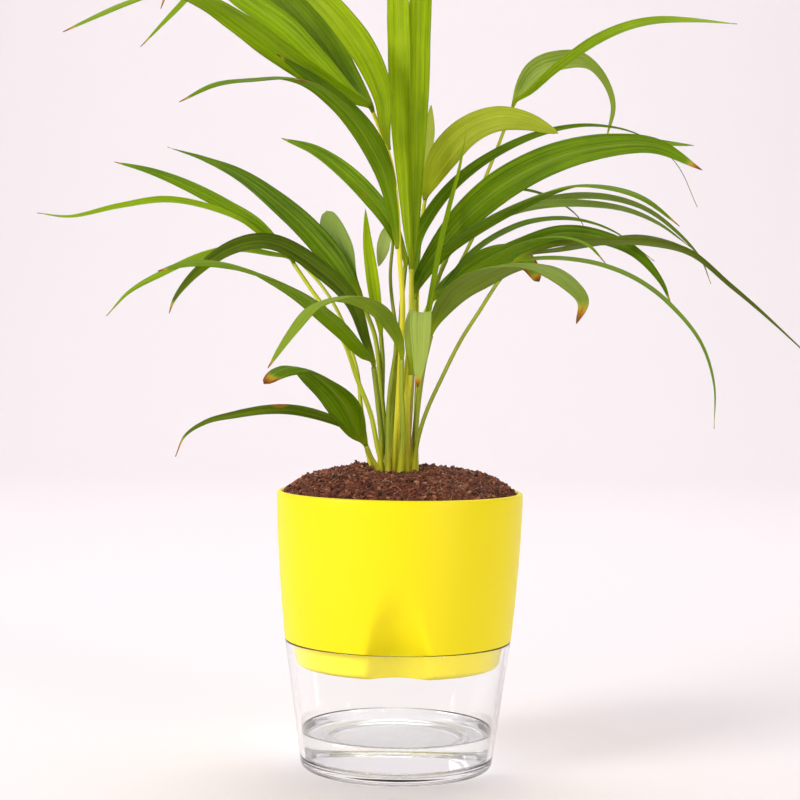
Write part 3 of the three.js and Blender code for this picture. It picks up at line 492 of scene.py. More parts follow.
class Nodes:
    """Short calls for a material's nodes."""

    def __init__(self, name):
        self.material = bpy.data.materials.new(name)
        self.material.use_nodes = True
        self.tree = self.material.node_tree
        self.tree.nodes.clear()

    def add(self, kind, inputs=None, **settings):
        node = self.tree.nodes.new(kind)
        for key, value in settings.items():
            setattr(node, key, value)
        for key, value in (inputs or {}).items():
            self.set(node.inputs[key], value)
        return node

    def set(self, socket, value):
        if isinstance(value, bpy.types.NodeSocket):
            self.tree.links.new(value, socket)
        else:
            socket.default_value = value

    def maths(self, operation, a, b=0.0, c=0.0):
        node = self.add("ShaderNodeMath", {0: a, 1: b}, operation=operation)
        if operation == "MULTIPLY_ADD":
            self.set(node.inputs[2], c)
        return node.outputs[0]

    def clamped(self, low, high, value):
        """0 below low, 1 above high, and smooth in between. High may be the lower one."""
        node = self.add("ShaderNodeMapRange", {"Value": value, "From Min": low, "From Max": high},
                        interpolation_type="SMOOTHSTEP")
        return node.outputs[0]

    def mix(self, factor, a, b):
        node = self.add("ShaderNodeMix", {0: factor, 6: a, 7: b}, data_type="RGBA")
        return node.outputs[2]

    def attribute(self, name):
        return self.add("ShaderNodeAttribute", attribute_name=name).outputs["Fac"]

    def noise(self, vector, scale, detail=3.0, roughness=0.5):
        node = self.add("ShaderNodeTexNoise", {"Vector": vector, "Scale": scale, "Detail": detail,
                                               "Roughness": roughness})
        return node.outputs["Fac"]

    def place(self):
        return self.add("ShaderNodeTexCoord").outputs["Object"]

    def ramp(self, factor, stops):
        node = self.add("ShaderNodeValToRGB", {0: factor})
        elements = node.color_ramp.elements
        while len(elements) < len(stops):
            elements.new(0.5)
        for element, (position, colour) in zip(elements, stops):
            element.position = position
            element.color = colour
        return node.outputs[0]

    def bump(self, height, distance, strength):
        node = self.add("ShaderNodeBump", {"Height": height, "Distance": distance,
                                           "Strength": strength})
        return node.outputs[0]

    def finish(self, shader):
        output = self.add("ShaderNodeOutputMaterial")
        self.tree.links.new(shader, output.inputs["Surface"])
        return self.material


def glass(name, colour, ior, roughness):
    """Clear plastic or water. Lamps shine through it."""
    n = Nodes(name)
    drift = n.noise(n.place(), 14.0, 2.0)
    finish = n.maths("MULTIPLY_ADD", drift, roughness, roughness * 0.5)
    ripple = n.bump(n.noise(n.place(), 40.0, 1.0), 0.02 * MM, 0.3)
    body = n.add("ShaderNodeBsdfPrincipled", {
        "Base Color": colour, "Roughness": finish, "IOR": ior, "Transmission Weight": 1.0,
        "Normal": ripple})
    clear = n.add("ShaderNodeBsdfTransparent", {"Color": (0.96, 0.97, 0.97, 1)})
    ray = n.add("ShaderNodeLightPath")
    mixed = n.add("ShaderNodeMixShader", {0: ray.outputs["Is Shadow Ray"], 1: body.outputs[0],
                                          2: clear.outputs[0]})
    return n.finish(mixed.outputs[0])


def yellow_plastic():
    n = Nodes("yellow_plastic")
    cloud = n.noise(n.place(), 30.0, 4.0)
    grain = n.noise(n.place(), 2600.0, 2.0)
    colour = n.mix(cloud, rgb(248, 227, 0), rgb(250, 232, 4))
    finish = n.maths("MULTIPLY_ADD", cloud, 0.08, 0.36)
    body = n.add("ShaderNodeBsdfPrincipled", {
        "Base Color": colour, "Roughness": finish, "IOR": 1.47, "Specular IOR Level": 0.3,
        "Normal": n.bump(grain, 0.012 * MM, 0.5)})
    return n.finish(body.outputs[0])


def coir(name):
    """Moist coir. Each bit has a tint of its own, from 0, dark, to 1, pale."""
    n = Nodes(name)
    tint = n.attribute("tint")
    speck = n.noise(n.place(), 900.0, 4.0, 0.7)
    shade = n.maths("MULTIPLY_ADD", n.maths("SUBTRACT", speck, 0.5), 0.5, tint)
    colour = n.ramp(shade, [
        (0.0, rgb(38, 14, 8)), (0.3, rgb(96, 44, 26)), (0.55, rgb(144, 78, 48)),
        (0.8, rgb(176, 122, 88)), (1.0, rgb(222, 190, 150))])
    finish = n.maths("MULTIPLY_ADD", speck, 0.25, 0.65)
    body = n.add("ShaderNodeBsdfPrincipled", {
        "Base Color": colour, "Roughness": finish,
        "Normal": n.bump(speck, 0.4 * MM, 0.8)})
    return n.finish(body.outputs[0])


def leaf_surface(n, dark, light, stalk, rib):
    """The colour, the streaks and the relief that leaves and stems share. They follow a blade's
    veins, which are numbered across it, and the distance from its start in millimetres."""
    vein = n.attribute("vein")
    length = n.attribute("length")
    tone = n.attribute("tone")
    streak_place = n.add("ShaderNodeCombineXYZ", {
        0: n.maths("MULTIPLY", vein, 1.3), 1: n.maths("MULTIPLY", length, 0.02),
        2: n.maths("MULTIPLY", tone, 37.0)}).outputs[0]
    streak = n.noise(streak_place, 1.0, 4.0, 0.6)
    wave = n.maths("COSINE", n.maths("MULTIPLY", vein, 2 * math.pi))
    ridge = n.maths("POWER", n.maths("MULTIPLY_ADD", wave, 0.5, 0.5), 3.0)
    blotch = n.noise(n.place(), 60.0, 3.0)
    shade = n.maths("ADD", n.maths("MULTIPLY_ADD", streak, 1.6, -0.65),
                    n.maths("MULTIPLY_ADD", blotch, 0.5, n.maths("MULTIPLY", tone, 0.9)))
    colour = n.mix(n.clamped(-0.1, 1.1, shade), dark, light)
    colour = n.mix(n.maths("MULTIPLY", ridge, 0.16), colour, rib)
    colour = n.mix(n.maths("MULTIPLY", n.attribute("rib"), 0.4), colour, rib)
    colour = n.mix(n.attribute("olive"), colour, rgb(104, 100, 30))
    # Pale grey-green: partly the blade's own fading and partly painted sheen and glare on it.
    colour = n.mix(n.attribute("faded"), colour, rgb(184, 196, 122))
    colour = n.mix(n.attribute("young"), colour, stalk)
    return worn(n, colour, streak_place, streak), streak, n.maths("ADD", ridge, streak)


def worn(n, colour, streak_place, streak):
    """Adds the yellow, orange and brown of dry tips and scars."""
    ragged = n.maths("MULTIPLY_ADD", n.noise(streak_place, 3.0, 3.0), 1.1, -0.55)
    age = n.maths("ADD", n.attribute("age"), ragged)
    dry = n.ramp(age, [(0.0, rgb(74, 38, 22)), (0.3, rgb(150, 84, 40)), (0.55, rgb(206, 132, 40)),
                       (0.8, rgb(214, 184, 60)), (1.0, rgb(196, 196, 70))])
    colour = n.mix(n.clamped(1.3, 0.75, age), colour, dry)
    scar = n.attribute("scar")
    marked = n.ramp(n.maths("ADD", scar, n.maths("MULTIPLY_ADD", streak, 0.5, -0.25)), [
        (0.0, rgb(190, 186, 70)), (0.5, rgb(196, 122, 44)), (1.0, rgb(112, 62, 34))])
    return n.mix(n.clamped(0.15, 0.5, scar), colour, marked)


def leaf_material(name, dark, light, through, glow=0.38):
    n = Nodes(name)
    colour, streak, relief = leaf_surface(n, dark, light, rgb(172, 184, 30), rgb(170, 186, 70))
    finish = n.maths("MULTIPLY_ADD", streak, 0.16, 0.36)
    normal = n.bump(relief, 0.09 * MM, 0.5)
    body = n.add("ShaderNodeBsdfPrincipled", {
        "Base Color": colour, "Roughness": finish, "IOR": 1.35, "Specular IOR Level": 0.18,
        "Normal": normal})
    lit = n.mix(0.5, colour, through)
    back = n.add("ShaderNodeBsdfTranslucent", {"Color": lit, "Normal": normal})
    mixed = n.add("ShaderNodeMixShader", {0: glow, 1: body.outputs[0], 2: back.outputs[0]})
    return n.finish(mixed.outputs[0])


def stem_material():
    n = Nodes("stem_skin")
    colour, streak, relief = leaf_surface(
        n, rgb(88, 122, 0), rgb(210, 218, 40), rgb(230, 220, 56), rgb(240, 232, 90))
    finish = n.maths("MULTIPLY_ADD", streak, 0.15, 0.36)
    normal = n.bump(relief, 0.07 * MM, 0.5)
    body = n.add("ShaderNodeBsdfPrincipled", {
        "Base Color": colour, "Roughness": finish, "IOR": 1.38, "Specular IOR Level": 0.3,
        "Normal": normal, "Subsurface Weight": 0.15, "Subsurface Radius": (0.9, 1.0, 0.3),
        "Subsurface Scale": 1 * MM})
    return n.finish(body.outputs[0])


def plain_surface(name, colour):
    n = Nodes(name)
    body = n.add("ShaderNodeBsdfPrincipled", {"Base Color": colour, "Roughness": 0.9})
    return n.finish(body.outputs[0])


# ---------------------------------------------------------------- cup and water


def cup_outer(z):
    return CUP["foot"] + (CUP_RIM / MM - CUP["foot"]) * z / (CUP_HEIGHT / MM)


def cup_inner(z):
    return cup_outer(z) - CUP["wall"]


def make_cup(material):
    top = CUP_HEIGHT / MM
    base, fillet, lip = CUP["base"], CUP["fillet"], CUP["lip"]
    foot = cup_outer(fillet) - fillet
    inside = cup_inner(base + fillet) - fillet
    ring = CUP["ring"]
    profile = [(0, 0)]
    profile += line((0, 0), (foot, 0), 6)
    profile += arc(foot, fillet, fillet, -90, 0)[1:]
    profile += line(profile[-1], (cup_outer(top - lip), top - lip), 24)
    profile += arc(cup_outer(top) - lip, top - lip, lip, 0, 90, 4)[1:]
    profile += arc(cup_inner(top) + lip, top - lip, lip, 90, 180, 4)
    profile += line(profile[-1], (cup_inner(base + fillet), base + fillet), 24)
    profile += arc(inside, base + fillet, fillet, 0, -90)[1:]
    profile += line(profile[-1], (ring + 1.2, base), 2)
    profile += arc(ring, base, 0.8, 0, 180)
    profile += line((ring - 1.2, base), (0, base), 6)
    turned("cup_clear", profile, even_angles(ROUND_SIDES), material,
           "reservoir_cup")


def make_water(material):
    low, top = WATER_FLOOR / MM, WATER_LEVEL / MM
    gap = 0.1
    fillet = CUP["fillet"] - gap
    base = low - 0.2
    ring = CUP["ring"]
    inside = cup_inner(base + fillet) - gap - fillet
    creep = 1.1  # how far the water climbs the wall
    profile = [(0, base), (ring - 1.6, base)]
    profile += arc(ring, base, 1.1, 180, 0)
    profile += [(ring + 1.6, base)]
    profile += arc(inside, base + fillet, fillet, -90, 0)
    wall = cup_inner(top) - gap
    profile += line(profile[-1], (wall + 0.1, top), 12)
    for i in range(1, 9):
        share = i / 8
        profile.append((wall - 3.2 * share ** 2, top - creep * (1 - (1 - share) ** 2.5)))
    profile += line(profile[-1], (0, top - creep), 10)
    turned("water_body", profile, even_angles(ROUND_SIDES), material, "water")


# ---------------------------------------------------------------- pot


def pot_radius(up):
    """Radius of the pot's outside, from 0 at the shoulder to 1 at the rim."""
    rim, shoulder = POT_RIM / MM, POT["shoulder_radius"]
    return shoulder + (rim - shoulder) * (1 - (1 - up) ** POT["bulge"])


def scoop_distance(x, y, z):
    """Distance from the slanted axis of the scoop."""
    slant = math.atan(SCOOP["slope"])
    height = RIM / MM - POT["shoulder"]
    foot = pot_radius(SCOOP["top"] / height) + SCOOP["radius"] / math.cos(slant)
    offset = Vector((x, y + foot, z - POT["shoulder"] - SCOOP["top"]))
    axis = Vector((0, -math.sin(slant), math.cos(slant)))
    return (offset - axis * offset.dot(axis)).length


def scooped(angle, radius, z, grow=0.0):
    """Radius at which a wall stands once the scoop is taken out of it, with soft edges."""
    soft = SCOOP["softness"]
    size = SCOOP["radius"] + grow

    def outside(r):
        wall = r - radius
        cut = size - scoop_distance(r * math.sin(angle), -r * math.cos(angle), z)
        blend = max(0, soft - abs(wall - cut)) / soft
        return max(wall, cut) + blend * blend * soft / 4

    turn = (angle + math.pi) % (2 * math.pi) - math.pi
    clear = 25.0  # the scoop doesn't reach this far in
    if radius < clear or abs(turn) > math.radians(40) or outside(radius) <= 0:
        return radius
    low, high = clear, radius
    for _ in range(24):
        middle = (low + high) / 2
        if outside(middle) > 0:
            high = middle
        else:
            low = middle
    return low


def pot_outline():
    """The pot's outline up the outside, over the rim and down the inside, and where the inside
    starts."""
    shoulder = POT["shoulder"]
    top = RIM / MM
    floor = POT_FLOOR / MM
    wall = POT["wall"]
    lip = wall / 2
    fillet = POT["nest_fillet"]
    nest_low = cup_inner(floor) - POT["nest_gap"]
    outline = [(0, floor)]
    outline += line((0, floor), (nest_low - fillet, floor), 14)
    outline += arc(nest_low - fillet, floor + fillet, fillet, -90, 0)[1:]
    outline += line(outline[-1], (POT["nest_radius"], shoulder - 0.3), 10)
    outline += arc(POT["nest_radius"] + 0.3, shoulder - 0.3, 0.3, 180, 90, 3)[1:]
    edge = 0.35
    outline += line(outline[-1], (POT["shoulder_radius"] - edge, shoulder), 2)
    outline += arc(POT["shoulder_radius"] - edge, shoulder + edge, edge, -90, 0, 5)[1:]
    for i in range(1, POT_ROWS):
        up = i / POT_ROWS
        z = shoulder + edge + (top - lip - shoulder - edge) * up
        outline.append((pot_radius((z - shoulder) / (top - shoulder)), z))
    outline += arc(POT_RIM / MM - lip, top - lip, lip, 0, 90, 6)
    turn = len(outline)
    outline += arc(POT_RIM / MM - lip, top - lip, lip, 90, 180, 6)[1:]
    for i in range(1, POT_ROWS):
        z = top - lip - (top - lip - shoulder) * i / POT_ROWS
        outline.append((pot_radius((z - shoulder) / (top - shoulder)) - wall, z))
    inner_floor = floor + wall
    outline += line(outline[-1], (nest_low - wall, inner_floor + 1.5), 8)
    outline += line(outline[-1], (nest_low - wall - 1.5, inner_floor), 2)
    outline += line(outline[-1], (0, inner_floor), 10)
    return outline, turn


def front_angles():
    """Angles round the pot, closer together across the scoop."""
    fine = math.radians(26)
    angles = [-fine + 2 * fine * i / 150 for i in range(150)]
    rest = 2 * math.pi - 2 * fine
    angles += [fine + rest * i / 170 for i in range(170)]
    return angles


def make_pot(material):
    outline, turn = pot_outline()

    def reach(angle, radius, z, index):
        return scooped(angle, radius, z, POT["wall"] if index >= turn else 0.0)

    pot = turned("pot_shell", outline, front_angles(), material, "inner_pot",
                 reach)
    cutter = bmesh.new()
    for i in range(POT["drains"]):
        angle = (i + 0.5) / POT["drains"] * 2 * math.pi
        circle = POT["drain_circle"]
        centre = Vector((circle * math.sin(angle), circle * math.cos(angle), POT_FLOOR / MM)) * MM
        bmesh.ops.create_cone(cutter, cap_ends=True, segments=32, radius1=POT["drain_radius"] * MM,
                              radius2=POT["drain_radius"] * MM, depth=4 * POT["wall"] * MM,
                              matrix=Matrix.Translation(centre))
    mesh = bpy.data.meshes.new("drain_cutter")
    cutter.to_mesh(mesh)
    cutter.free()
    tool = bpy.data.objects.new("drain_cutter", mesh)
    bpy.context.scene.collection.objects.link(tool)
    cut = pot.modifiers.new("drains", "BOOLEAN")
    cut.operation = "DIFFERENCE"
    cut.solver = "EXACT"
    cut.object = tool
    apply_modifiers(pot)
    bpy.data.objects.remove(tool)


def apply_modifiers(piece):
    bpy.context.view_layer.update()
    evaluated = piece.evaluated_get(bpy.context.evaluated_depsgraph_get())
    done = bpy.data.meshes.new_from_object(evaluated)
    piece.modifiers.clear()
    piece.data = done


# ---------------------------------------------------------------- soil


def soil_height(x, y, reach):
    """Height of the soil's surface above its edge, close to the model's."""
    out = min(1, math.hypot(x, y) / reach)
    mound = SOIL["shoulder"] * (1 - out ** 8) + SOIL["dome"] * (1 - out ** 2)
    for at_x, at_y, height, spread in SOIL_BUMPS:
        swell = height * math.exp(-((x - at_x) ** 2 + (y - at_y) ** 2) / spread ** 2)
        mound += swell * (1 - out ** 2)
    return mound


def soil_reach():
    height = RIM / MM - POT["shoulder"]
    return pot_radius(1 - SOIL["edge_drop"] / height) - POT["wall"] - SOIL["gap"]


def crumbs(x, y):
    """Roughness of the soil's surface."""
    place = Vector((x, y, 0))
    coarse = noise.fractal(place * 0.16, 1.0, 2.0, 3)
    fine = noise.fractal(place * 0.9, 0.8, 2.0, 3)
    return 1.1 * coarse + 0.7 * fine


def soil_surface(x, y):
    reach = soil_reach()
    edge = RIM / MM - SOIL["edge_drop"]
    out = min(1, math.hypot(x, y) / reach)
    return edge + soil_height(x, y, reach) + crumbs(x, y) * smooth_step(1.0, 0.93, out)


def make_soil_bed(material):
    """The soil's mass: up the inside of the pot, and its crumbly surface."""
    gap = SOIL["gap"]
    shoulder, top = POT["shoulder"], RIM / MM
    floor = POT_FLOOR / MM + POT["wall"] + gap
    low = cup_inner(POT_FLOOR / MM) - POT["nest_gap"] - POT["wall"] - gap
    outline = [(0, floor)]
    outline += line((0, floor), (low - 1.5, floor), 6)
    outline += line(outline[-1], (POT["nest_radius"] - POT["wall"] - gap, shoulder), 10)
    edge = top - SOIL["edge_drop"]
    for i in range(1, 25):
        z = shoulder + (edge - shoulder) * i / 24
        outline.append((pot_radius((z - shoulder) / (top - shoulder)) - POT["wall"] - gap, z))
    turn = len(outline)
    reach = soil_reach()
    for i in range(1, SOIL_ROWS + 1):
        outline.append((reach * (1 - i / SOIL_ROWS), edge))

    def pull(angle, radius, z, index):
        if index >= turn:
            return radius
        return scooped(angle, radius, z, POT["wall"] + gap)

    bed = turned("coir_bed", outline, even_angles(SOIL_SIDES), material, "soil", pull)
    tints = []
    for point in bed.data.vertices:
        x, y, z = point.co / MM
        if z > edge - 0.01:
            point.co.z = soil_surface(x, y) * MM
        tints.append(0.3 + 0.28 * noise.fractal(Vector((x, y, z)) * 0.7, 1.0, 2.0, 3))
    layer = bed.data.attributes.new("tint", "FLOAT", "POINT")
    layer.data.foreach_set("value", tints)


def fibre(random_source, start, length, radius, heading):
    """A thin curved strand of coir that lies on the soil, as rings of three points."""
    rings = []
    steps = 6
    bend = random_source.uniform(-0.5, 0.5)
    lie = start.z - soil_surface(start.x, start.y)
    centre = start.copy()
    for i in range(steps + 1):
        turn = heading + bend * i
        along = Vector((math.cos(turn), math.sin(turn), 0))
        side = along.cross(UP).normalized()
        lift = side.cross(along).normalized()
        width = radius * (1 - 0.7 * abs(2 * i / steps - 1) ** 2)
        ring = []
        for k in range(3):
            angle = 2 * math.pi * k / 3
            ring.append(centre + side * (width * math.cos(angle))
                        + lift * (width * math.sin(angle)))
        rings.append(ring)
        centre = centre + along * (length / steps)
        arch = lie + random_source.uniform(0, 0.35)
        centre.z = soil_surface(centre.x, centre.y) + arch
    return rings


def chip(random_source, centre, size):
    """A flat irregular chip, as two rings of points."""
    spin = Matrix.Rotation(random_source.uniform(0, 2 * math.pi), 3, "Z")
    tip = Matrix.Rotation(random_source.gauss(0, 0.5), 3, "X")
    tip = tip @ Matrix.Rotation(random_source.gauss(0, 0.5), 3, "Y")
    corners = random_source.randint(5, 7)
    long = random_source.uniform(1.0, 2.2)
    thick = size * random_source.uniform(0.16, 0.4)
    rings = [[], []]
    for k in range(corners):
        angle = 2 * math.pi * k / corners
        reach = size * random_source.uniform(0.6, 1.1)
        flat = Vector((reach * long * math.cos(angle), reach * math.sin(angle), 0))
        for ring, height, share in ((0, -thick, 0.85), (1, thick, random_source.uniform(0.5, 0.9))):
            rings[ring].append(centre + tip @ (spin @ (flat * share + Vector((0, 0, height)))))
    return rings


def make_soil_bits(material):
    """Chips, crumbs and strands that lie on the soil."""
    source = random.Random(SOIL_SEED)
    reach = soil_reach() - 0.8
    points, faces, tints = [], [], []
    for kind, count in SOIL_BITS.items():
        for _ in range(count):
            angle = source.uniform(0, 2 * math.pi)
            out = reach * math.sqrt(source.uniform(0, 1))
            x, y = out * math.sin(angle), -out * math.cos(angle)
            heading = source.uniform(0, 2 * math.pi)
            length = min(source.uniform(2.5, 11), 1.2 * (reach - out) + 2)
            start = Vector((x, y, soil_surface(x, y)))
            if kind in FLAT_BITS:
                lift, least, most, shade, spread = FLAT_BITS[kind]
                place = start + UP * source.uniform(-0.1, lift)
                rings = chip(source, place, source.uniform(least, most))
                tint = min(0.95, max(0.05, source.gauss(shade, spread)))
            else:
                rings = fibre(source, start + UP * source.uniform(0, 0.5), length,
                              source.uniform(0.06, 0.17), heading)
                tint = min(1, max(0.15, source.gauss(0.58, 0.2)))
            faces += skin(rings, len(points))
            added = flat_list(rings)
            for point in added:
                span = math.hypot(point.x, point.y)
                if span > reach + 0.5:
                    point.x *= (reach + 0.5) / span
                    point.y *= (reach + 0.5) / span
            points += [point * MM for point in added]
            tints += [tint] * len(added)
    bits = make_piece("coir_bits", points, faces, material, "soil", {"tint": tints})
    bits.data.shade_flat()


# ---------------------------------------------------------------- stems

# What a stem's or a leaf's material reads at each point: the number of its vein, how far along it
# is in millimetres, how light it is, how near it is to a rib, to its stalk, to its tip and to a scar,
# how olive it is, and how pale grey-green it is, which is partly fading and partly painted sheen
# and glare.
SKIN_NUMBERS = ("vein", "length", "tone", "rib", "young", "age", "scar", "olive", "faded")


def add_numbers(values, *numbers):
    for label, number in zip(SKIN_NUMBERS, numbers, strict=True):
        values[label].append(number)


def stem_spine(stem):
    x, y = stem["foot"]
    points = [palm_point((x, y, -STEM_ROOT)), palm_point((x, y, 2))]
    points += [palm_point(p) for p in stem["path"]]
    return catmull_rom(points)


def make_stem(name, stem, material, source):
    """A stem: a tapering tube with a swollen foot, the scars of old sheaths and fine ribs."""
    points, directions, length = divided(stem_spine(stem))
    steps = len(points) - 1
    across = carried_frames(directions, (0, 0), (0, 0))
    low, high = stem["radii"]
    scars = [source.uniform(4, 12), source.uniform(18, 34)]
    browned = source.uniform(0.1, 0.5)
    rings = []
    values = {label: [] for label in SKIN_NUMBERS}
    for i, (centre, along) in enumerate(zip(points, directions)):
        share = i / steps
        gone = share * length - STEM_ROOT
        radius = low + (high - low) * share
        radius *= 1 + 0.14 * smooth_step(9, 0, gone)
        for scar in scars:
            radius *= 1 + 0.05 * math.exp(-((gone - scar) / 1.1) ** 2)
        out = across[i].cross(along)
        ring = []
        for k in range(STEM_SIDES):
            angle = 2 * math.pi * k / STEM_SIDES
            ribbed = radius * (1 + 0.035 * math.cos(4 * angle))
            ring.append(centre + across[i] * (ribbed * math.cos(angle))
                        + out * (ribbed * math.sin(angle)))
            edge = stem["edge"] * smooth_step(0.6, 0.98, math.cos(angle))
            edge *= smooth_step(4, 14, gone)
            foot = browned * smooth_step(6, 0, gone)
            rib = 0.6 * smooth_step(0.3, 1.0, math.sin(angle))
            young = max(stem["yellow"], 0.7 * smooth_step(20, 0, gone))
            add_numbers(values, k / STEM_SIDES * STEM_VEINS, gone, stem["tone"], rib, young,
                        FRESH, max(edge, foot), 0.0, 0.0)
        rings.append([point * MM for point in ring])
    make_piece(f"stalk_{name}", flat_list(rings), skin(rings), material, f"stem_{name}",
               values)


# ---------------------------------------------------------------- leaves

# Places across a blade, from -1 to 1: over its upper face and back under its lower one.
COLUMNS = [-1 + 2 * k / BLADE_COLUMNS for k in range(BLADE_COLUMNS + 1)]
RING_COLUMNS = COLUMNS + COLUMNS[-2:0:-1]


def blade_half_width(t, blade, stalk):
    """Half the width of a blade at a share of its length."""
    rise = math.sin(math.pi / 2 * min(1, t / blade["widest"]))
    past = max(0, t - blade["widest"]) / (1 - blade["widest"])
    fall = max(0, math.cos(math.pi / 2 * past)) ** blade["fullness"]
    return max(0.1, (stalk + (blade["width"] / 2 - stalk) * rise) * fall)


def leaf_start(name, leaf):
    """Where a leaf leaves its stem, which way, and the half width of a lobe there."""
    stem = STEMS[leaf["stem"] or name]
    at = leaf["at"]
    points, directions, _ = along_curve(stem_spine(stem), STEM_SAMPLES)
    index = round(at * STEM_SAMPLES)
    end, along = points[index], directions[index]
    low, high = stem["radii"]
    radius = low + (high - low) * at
    stalk = min(BLADE["stalk"], high)
    if leaf["side"]:
        side = Vector(leaf["side"])
        side = (side - along * side.dot(along)).normalized()
        end = end + side * (radius * 0.9)
    return end, along, stalk


def blade_rings(blade, end, along, stalk, source):
    """The rings of one lobe: a thin pleated blade, thick and round where it leaves the stem. Each
    point also gets the numbers that its material needs."""
    spine = [end, end + along * LEAF_LEAD] + [palm_point(p) for p in blade["path"]]
    points, directions, length = divided(catmull_rom(spine))
    steps = len(points) - 1
    across = carried_frames(directions, blade["near"], blade["tip"])
    width = blade["width"]
    veins = max(2, round(width / 2.2))
    pleats = max(1, round(width / 5))
    tone = blade["tone"] + source.uniform(-0.08, 0.08)
    shift = source.uniform(0, 100)
    rings = []
    values = {label: [] for label in SKIN_NUMBERS}
    for i, (centre, direction) in enumerate(zip(points, directions)):
        t = i / steps
        gone = t * length
        left = length - gone
        half = blade_half_width(t, blade, stalk)
        out = across[i].cross(direction)
        flat = smooth_step(0, 16, gone)
        cup = half * (BLADE["cupping"] * math.sin(math.pi * t) + 0.3 * smooth_step(40, 6, gone))
        depth = 0.035 * half * smooth_step(2, 25, gone) * smooth_step(0, 25, left)
        ripple = 0.09 * half * smooth_step(10, 35, gone)
        upper, lower = [], []
        for u in COLUMNS:
            wave = noise.noise(Vector((gone * 0.06, u * 1.2 + shift, shift))) * ripple * u * u
            bow = cup * abs(u) ** 1.4 + depth * math.cos(2 * math.pi * pleats * u) + wave
            bow -= 0.175 * flat * math.exp(-(u / 0.07) ** 2) * smooth_step(0, 30, left)
            round_half = stalk * math.sqrt(max(0, 1 - u * u))
            thin = BLADE["thickness"] / 2 * (1 - 0.6 * u ** 6)
            thick = round_half + (thin - round_half) * flat
            place = centre + across[i] * (half * u)
            upper.append(place + out * (bow + thick))
            lower.append(place + out * (bow - thick))
        rings.append([point * MM for point in upper + lower[-2:0:-1]])
        young = 0.8 * smooth_step(14, 0, gone)
        age = min(FRESH, left / blade["brown"])
        # How far the blade is painted pale grey-green: partly fading and partly painted sheen and glare.
        faded = blade["faded"] * smooth_step(0, 30, gone)
        for u in RING_COLUMNS:
            rib = math.exp(-(u / 0.08) ** 2) * smooth_step(0, 40, left)
            add_numbers(values, u * veins + 0.5, gone, tone, rib, young, age, 0.0, blade["olive"],
                        faded)
    return rings, values, length


def make_leaf(name, leaf, material, source):
    end, along, stalk = leaf_start(name, leaf)
    points, faces = [], []
    values = {}
    for index, blade in enumerate(leaf["lobes"]):
        rings, numbers, length = blade_rings(blade, end, along, stalk, source)
        for scar_leaf, scar_lobe, at, across, size, strength in SCARS:
            if (scar_leaf, scar_lobe) == (name, index):
                scar_blade(numbers, len(rings), at, across, size, strength, length, blade["width"])
        faces += skin(rings, len(points))
        points += flat_list(rings)
        for label, numbers_of_label in numbers.items():
            values.setdefault(label, []).extend(numbers_of_label)
    make_piece(f"blades_{name}", points, faces, material, f"leaf_{name}", values)


def scar_blade(numbers, ring_count, at, across, size, strength, length, width):
    """Marks the part of a blade that lies near a scar."""
    for ring in range(ring_count):
        for k, column in enumerate(RING_COLUMNS):
            along_by = (ring / (ring_count - 1) - at) * length / size
            across_by = (column - across) * width / 2 / (0.35 * size)
            near = strength * math.exp(-along_by ** 2 - across_by ** 2)
            index = ring * len(RING_COLUMNS) + k
            numbers["scar"][index] = max(numbers["scar"][index], near)


# ---------------------------------------------------------------- camera, stage and light


def make_camera():
    camera = bpy.data.cameras.new("camera")
    camera.sensor_width = 36
    camera.lens = CAMERA["lens"]
    camera.clip_start = 0.05
    camera.clip_end = 50
    holder = bpy.data.objects.new("camera", camera)
    bpy.context.scene.collection.objects.link(holder)
    tilt = Matrix.Rotation(math.radians(90 - CAMERA["down"]), 4, "X")
    roll = Matrix.Rotation(math.radians(CAMERA["roll"]), 4, "Z")
    holder.matrix_world = Matrix.Translation(CAMERA["place"]) @ tilt @ roll
    bpy.context.scene.camera = holder


def make_stage():
    """A pale floor that curves up into a plain backdrop."""
    front, bend, wall, height = -4.0, 1.9, 2.9, 3.2
    radius = wall - bend
    outline = [(front, 0), (-1, 0), (0, 0), (bend, 0)]
    for i in range(1, 25):
        angle = math.pi / 2 * i / 24
        outline.append((bend + radius * math.sin(angle), radius - radius * math.cos(angle)))
    outline.append((wall, height))
    columns = (-5, 0, 5)
    under = 0.2 * MM
    points = [(x, y, z - under) for y, z in outline for x in columns]
    count = len(columns)
    faces = []
    for row in range(len(outline) - 1):
        for i in range(count - 1):
            a = row * count + i
            faces.append((a, a + 1, a + 1 + count, a + count))
    mesh = bpy.data.meshes.new("stage_floor")
    mesh.from_pydata(points, [], faces)
    mesh.materials.append(plain_surface("stage_paper", rgb(236, 230, 232)))
    mesh.shade_smooth()
    floor = bpy.data.objects.new("stage_floor", mesh)
    bpy.context.scene.collection.objects.link(floor)


def lamp(name, place, target, width, height, power, colour):
    light = bpy.data.lights.new(name, "AREA")
    light.shape = "RECTANGLE"
    light.size = width
    light.size_y = height
    light.energy = power
    light.color = colour
    holder = bpy.data.objects.new(name, light)
    holder.location = place
    holder.rotation_euler = (Vector(target) - Vector(place)).to_track_quat("-Z", "Y").to_euler()
    bpy.context.scene.collection.objects.link(holder)


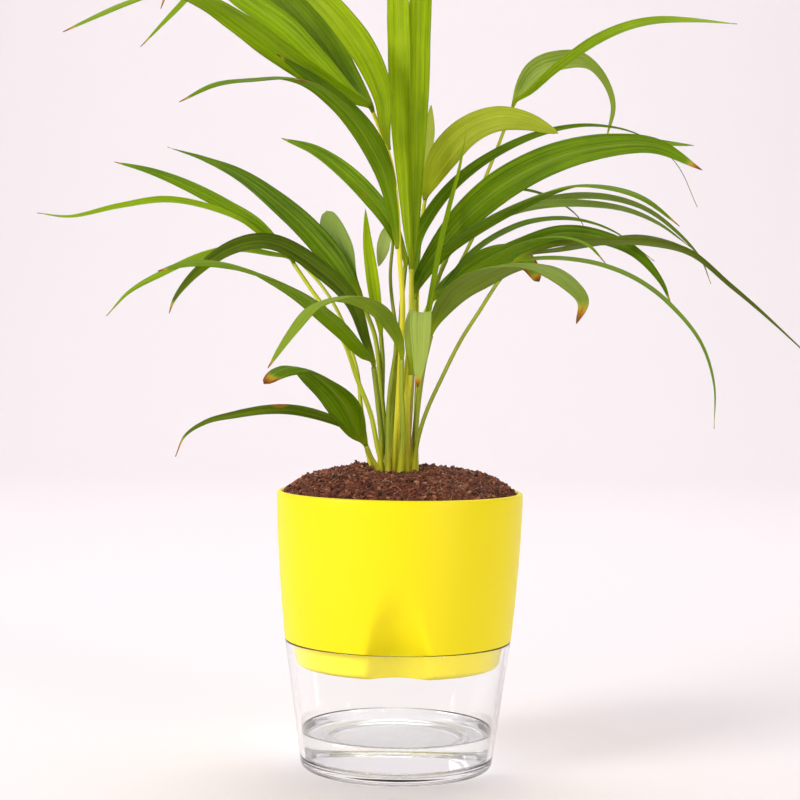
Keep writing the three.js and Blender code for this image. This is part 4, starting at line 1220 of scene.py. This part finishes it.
def studio_world():
    """An even light from all sides, dimmer from the front so that the clear plastic stays clear."""
    world = bpy.data.worlds.new("studio")
    world.use_nodes = True
    tree = world.node_tree
    background = tree.nodes["Background"]
    place = tree.nodes.new("ShaderNodeTexCoord")
    parts = tree.nodes.new("ShaderNodeSeparateXYZ")
    tree.links.new(place.outputs["Generated"], parts.inputs[0])
    fade = tree.nodes.new("ShaderNodeMapRange")
    limits = {"From Min": -0.9, "From Max": 0.3, "To Min": 0.3, "To Max": 0.55}
    for label, value in limits.items():
        fade.inputs[label].default_value = value
    tree.links.new(parts.outputs["Y"], fade.inputs["Value"])
    tree.links.new(fade.outputs["Result"], background.inputs["Strength"])
    background.inputs["Color"].default_value = (1.0, 0.975, 0.985, 1)
    bpy.context.scene.world = world


def make_light():
    studio_world()
    bpy.context.scene.view_settings.view_transform = "Standard"
    middle = (0, 0, 0.2)
    lamp("key", (-1.4, -1.1, 1.0), middle, 0.7, 0.9, 26, (1.0, 0.99, 0.97))
    lamp("fill", (1.3, -1.5, 0.5), middle, 0.5, 0.5, 10, (1.0, 0.98, 0.98))
    lamp("top", (0.2, 0.5, 1.7), middle, 1.2, 1.2, 8, (1.0, 1.0, 1.0))
    lamp("wall", (0, 1.2, 2.6), (0, 2.9, 0.9), 3.0, 0.8, 44, (1.0, 0.98, 0.99))


# ---------------------------------------------------------------- the part

make_camera()
make_stage()
make_light()

make_cup(glass("clear_plastic", (0.985, 0.99, 0.99, 1), 1.49, 0.02))
# Real water bends light a little more, at 1.33.
make_water(glass("still_water", (0.985, 0.995, 1.0, 1), 1.25, 0.004))
make_pot(yellow_plastic())
coir_skin = coir("coir")
make_soil_bed(coir_skin)
make_soil_bits(coir_skin)

GREENS = {
    "leaf_deep": leaf_material("leaf_deep", rgb(58, 92, 0), rgb(134, 168, 0), rgb(152, 194, 0)),
    "leaf_mid": leaf_material("leaf_mid", rgb(86, 124, 0), rgb(164, 194, 6), rgb(178, 212, 0)),
    "leaf_light": leaf_material("leaf_light", rgb(120, 154, 0), rgb(196, 216, 18),
                                rgb(198, 228, 0)),
    "leaf_lime": leaf_material("leaf_lime", rgb(166, 172, 16), rgb(232, 238, 90),
                               rgb(236, 250, 40), 0.56),
}
stem_skin = stem_material()
draws = random.Random(PALM_SEED)
for stem_name, stem_data in STEMS.items():
    make_stem(stem_name, stem_data, stem_skin, draws)
for leaf_name, leaf_data in LEAVES.items():
    make_leaf(leaf_name, leaf_data, GREENS[leaf_data["slot"]], draws)
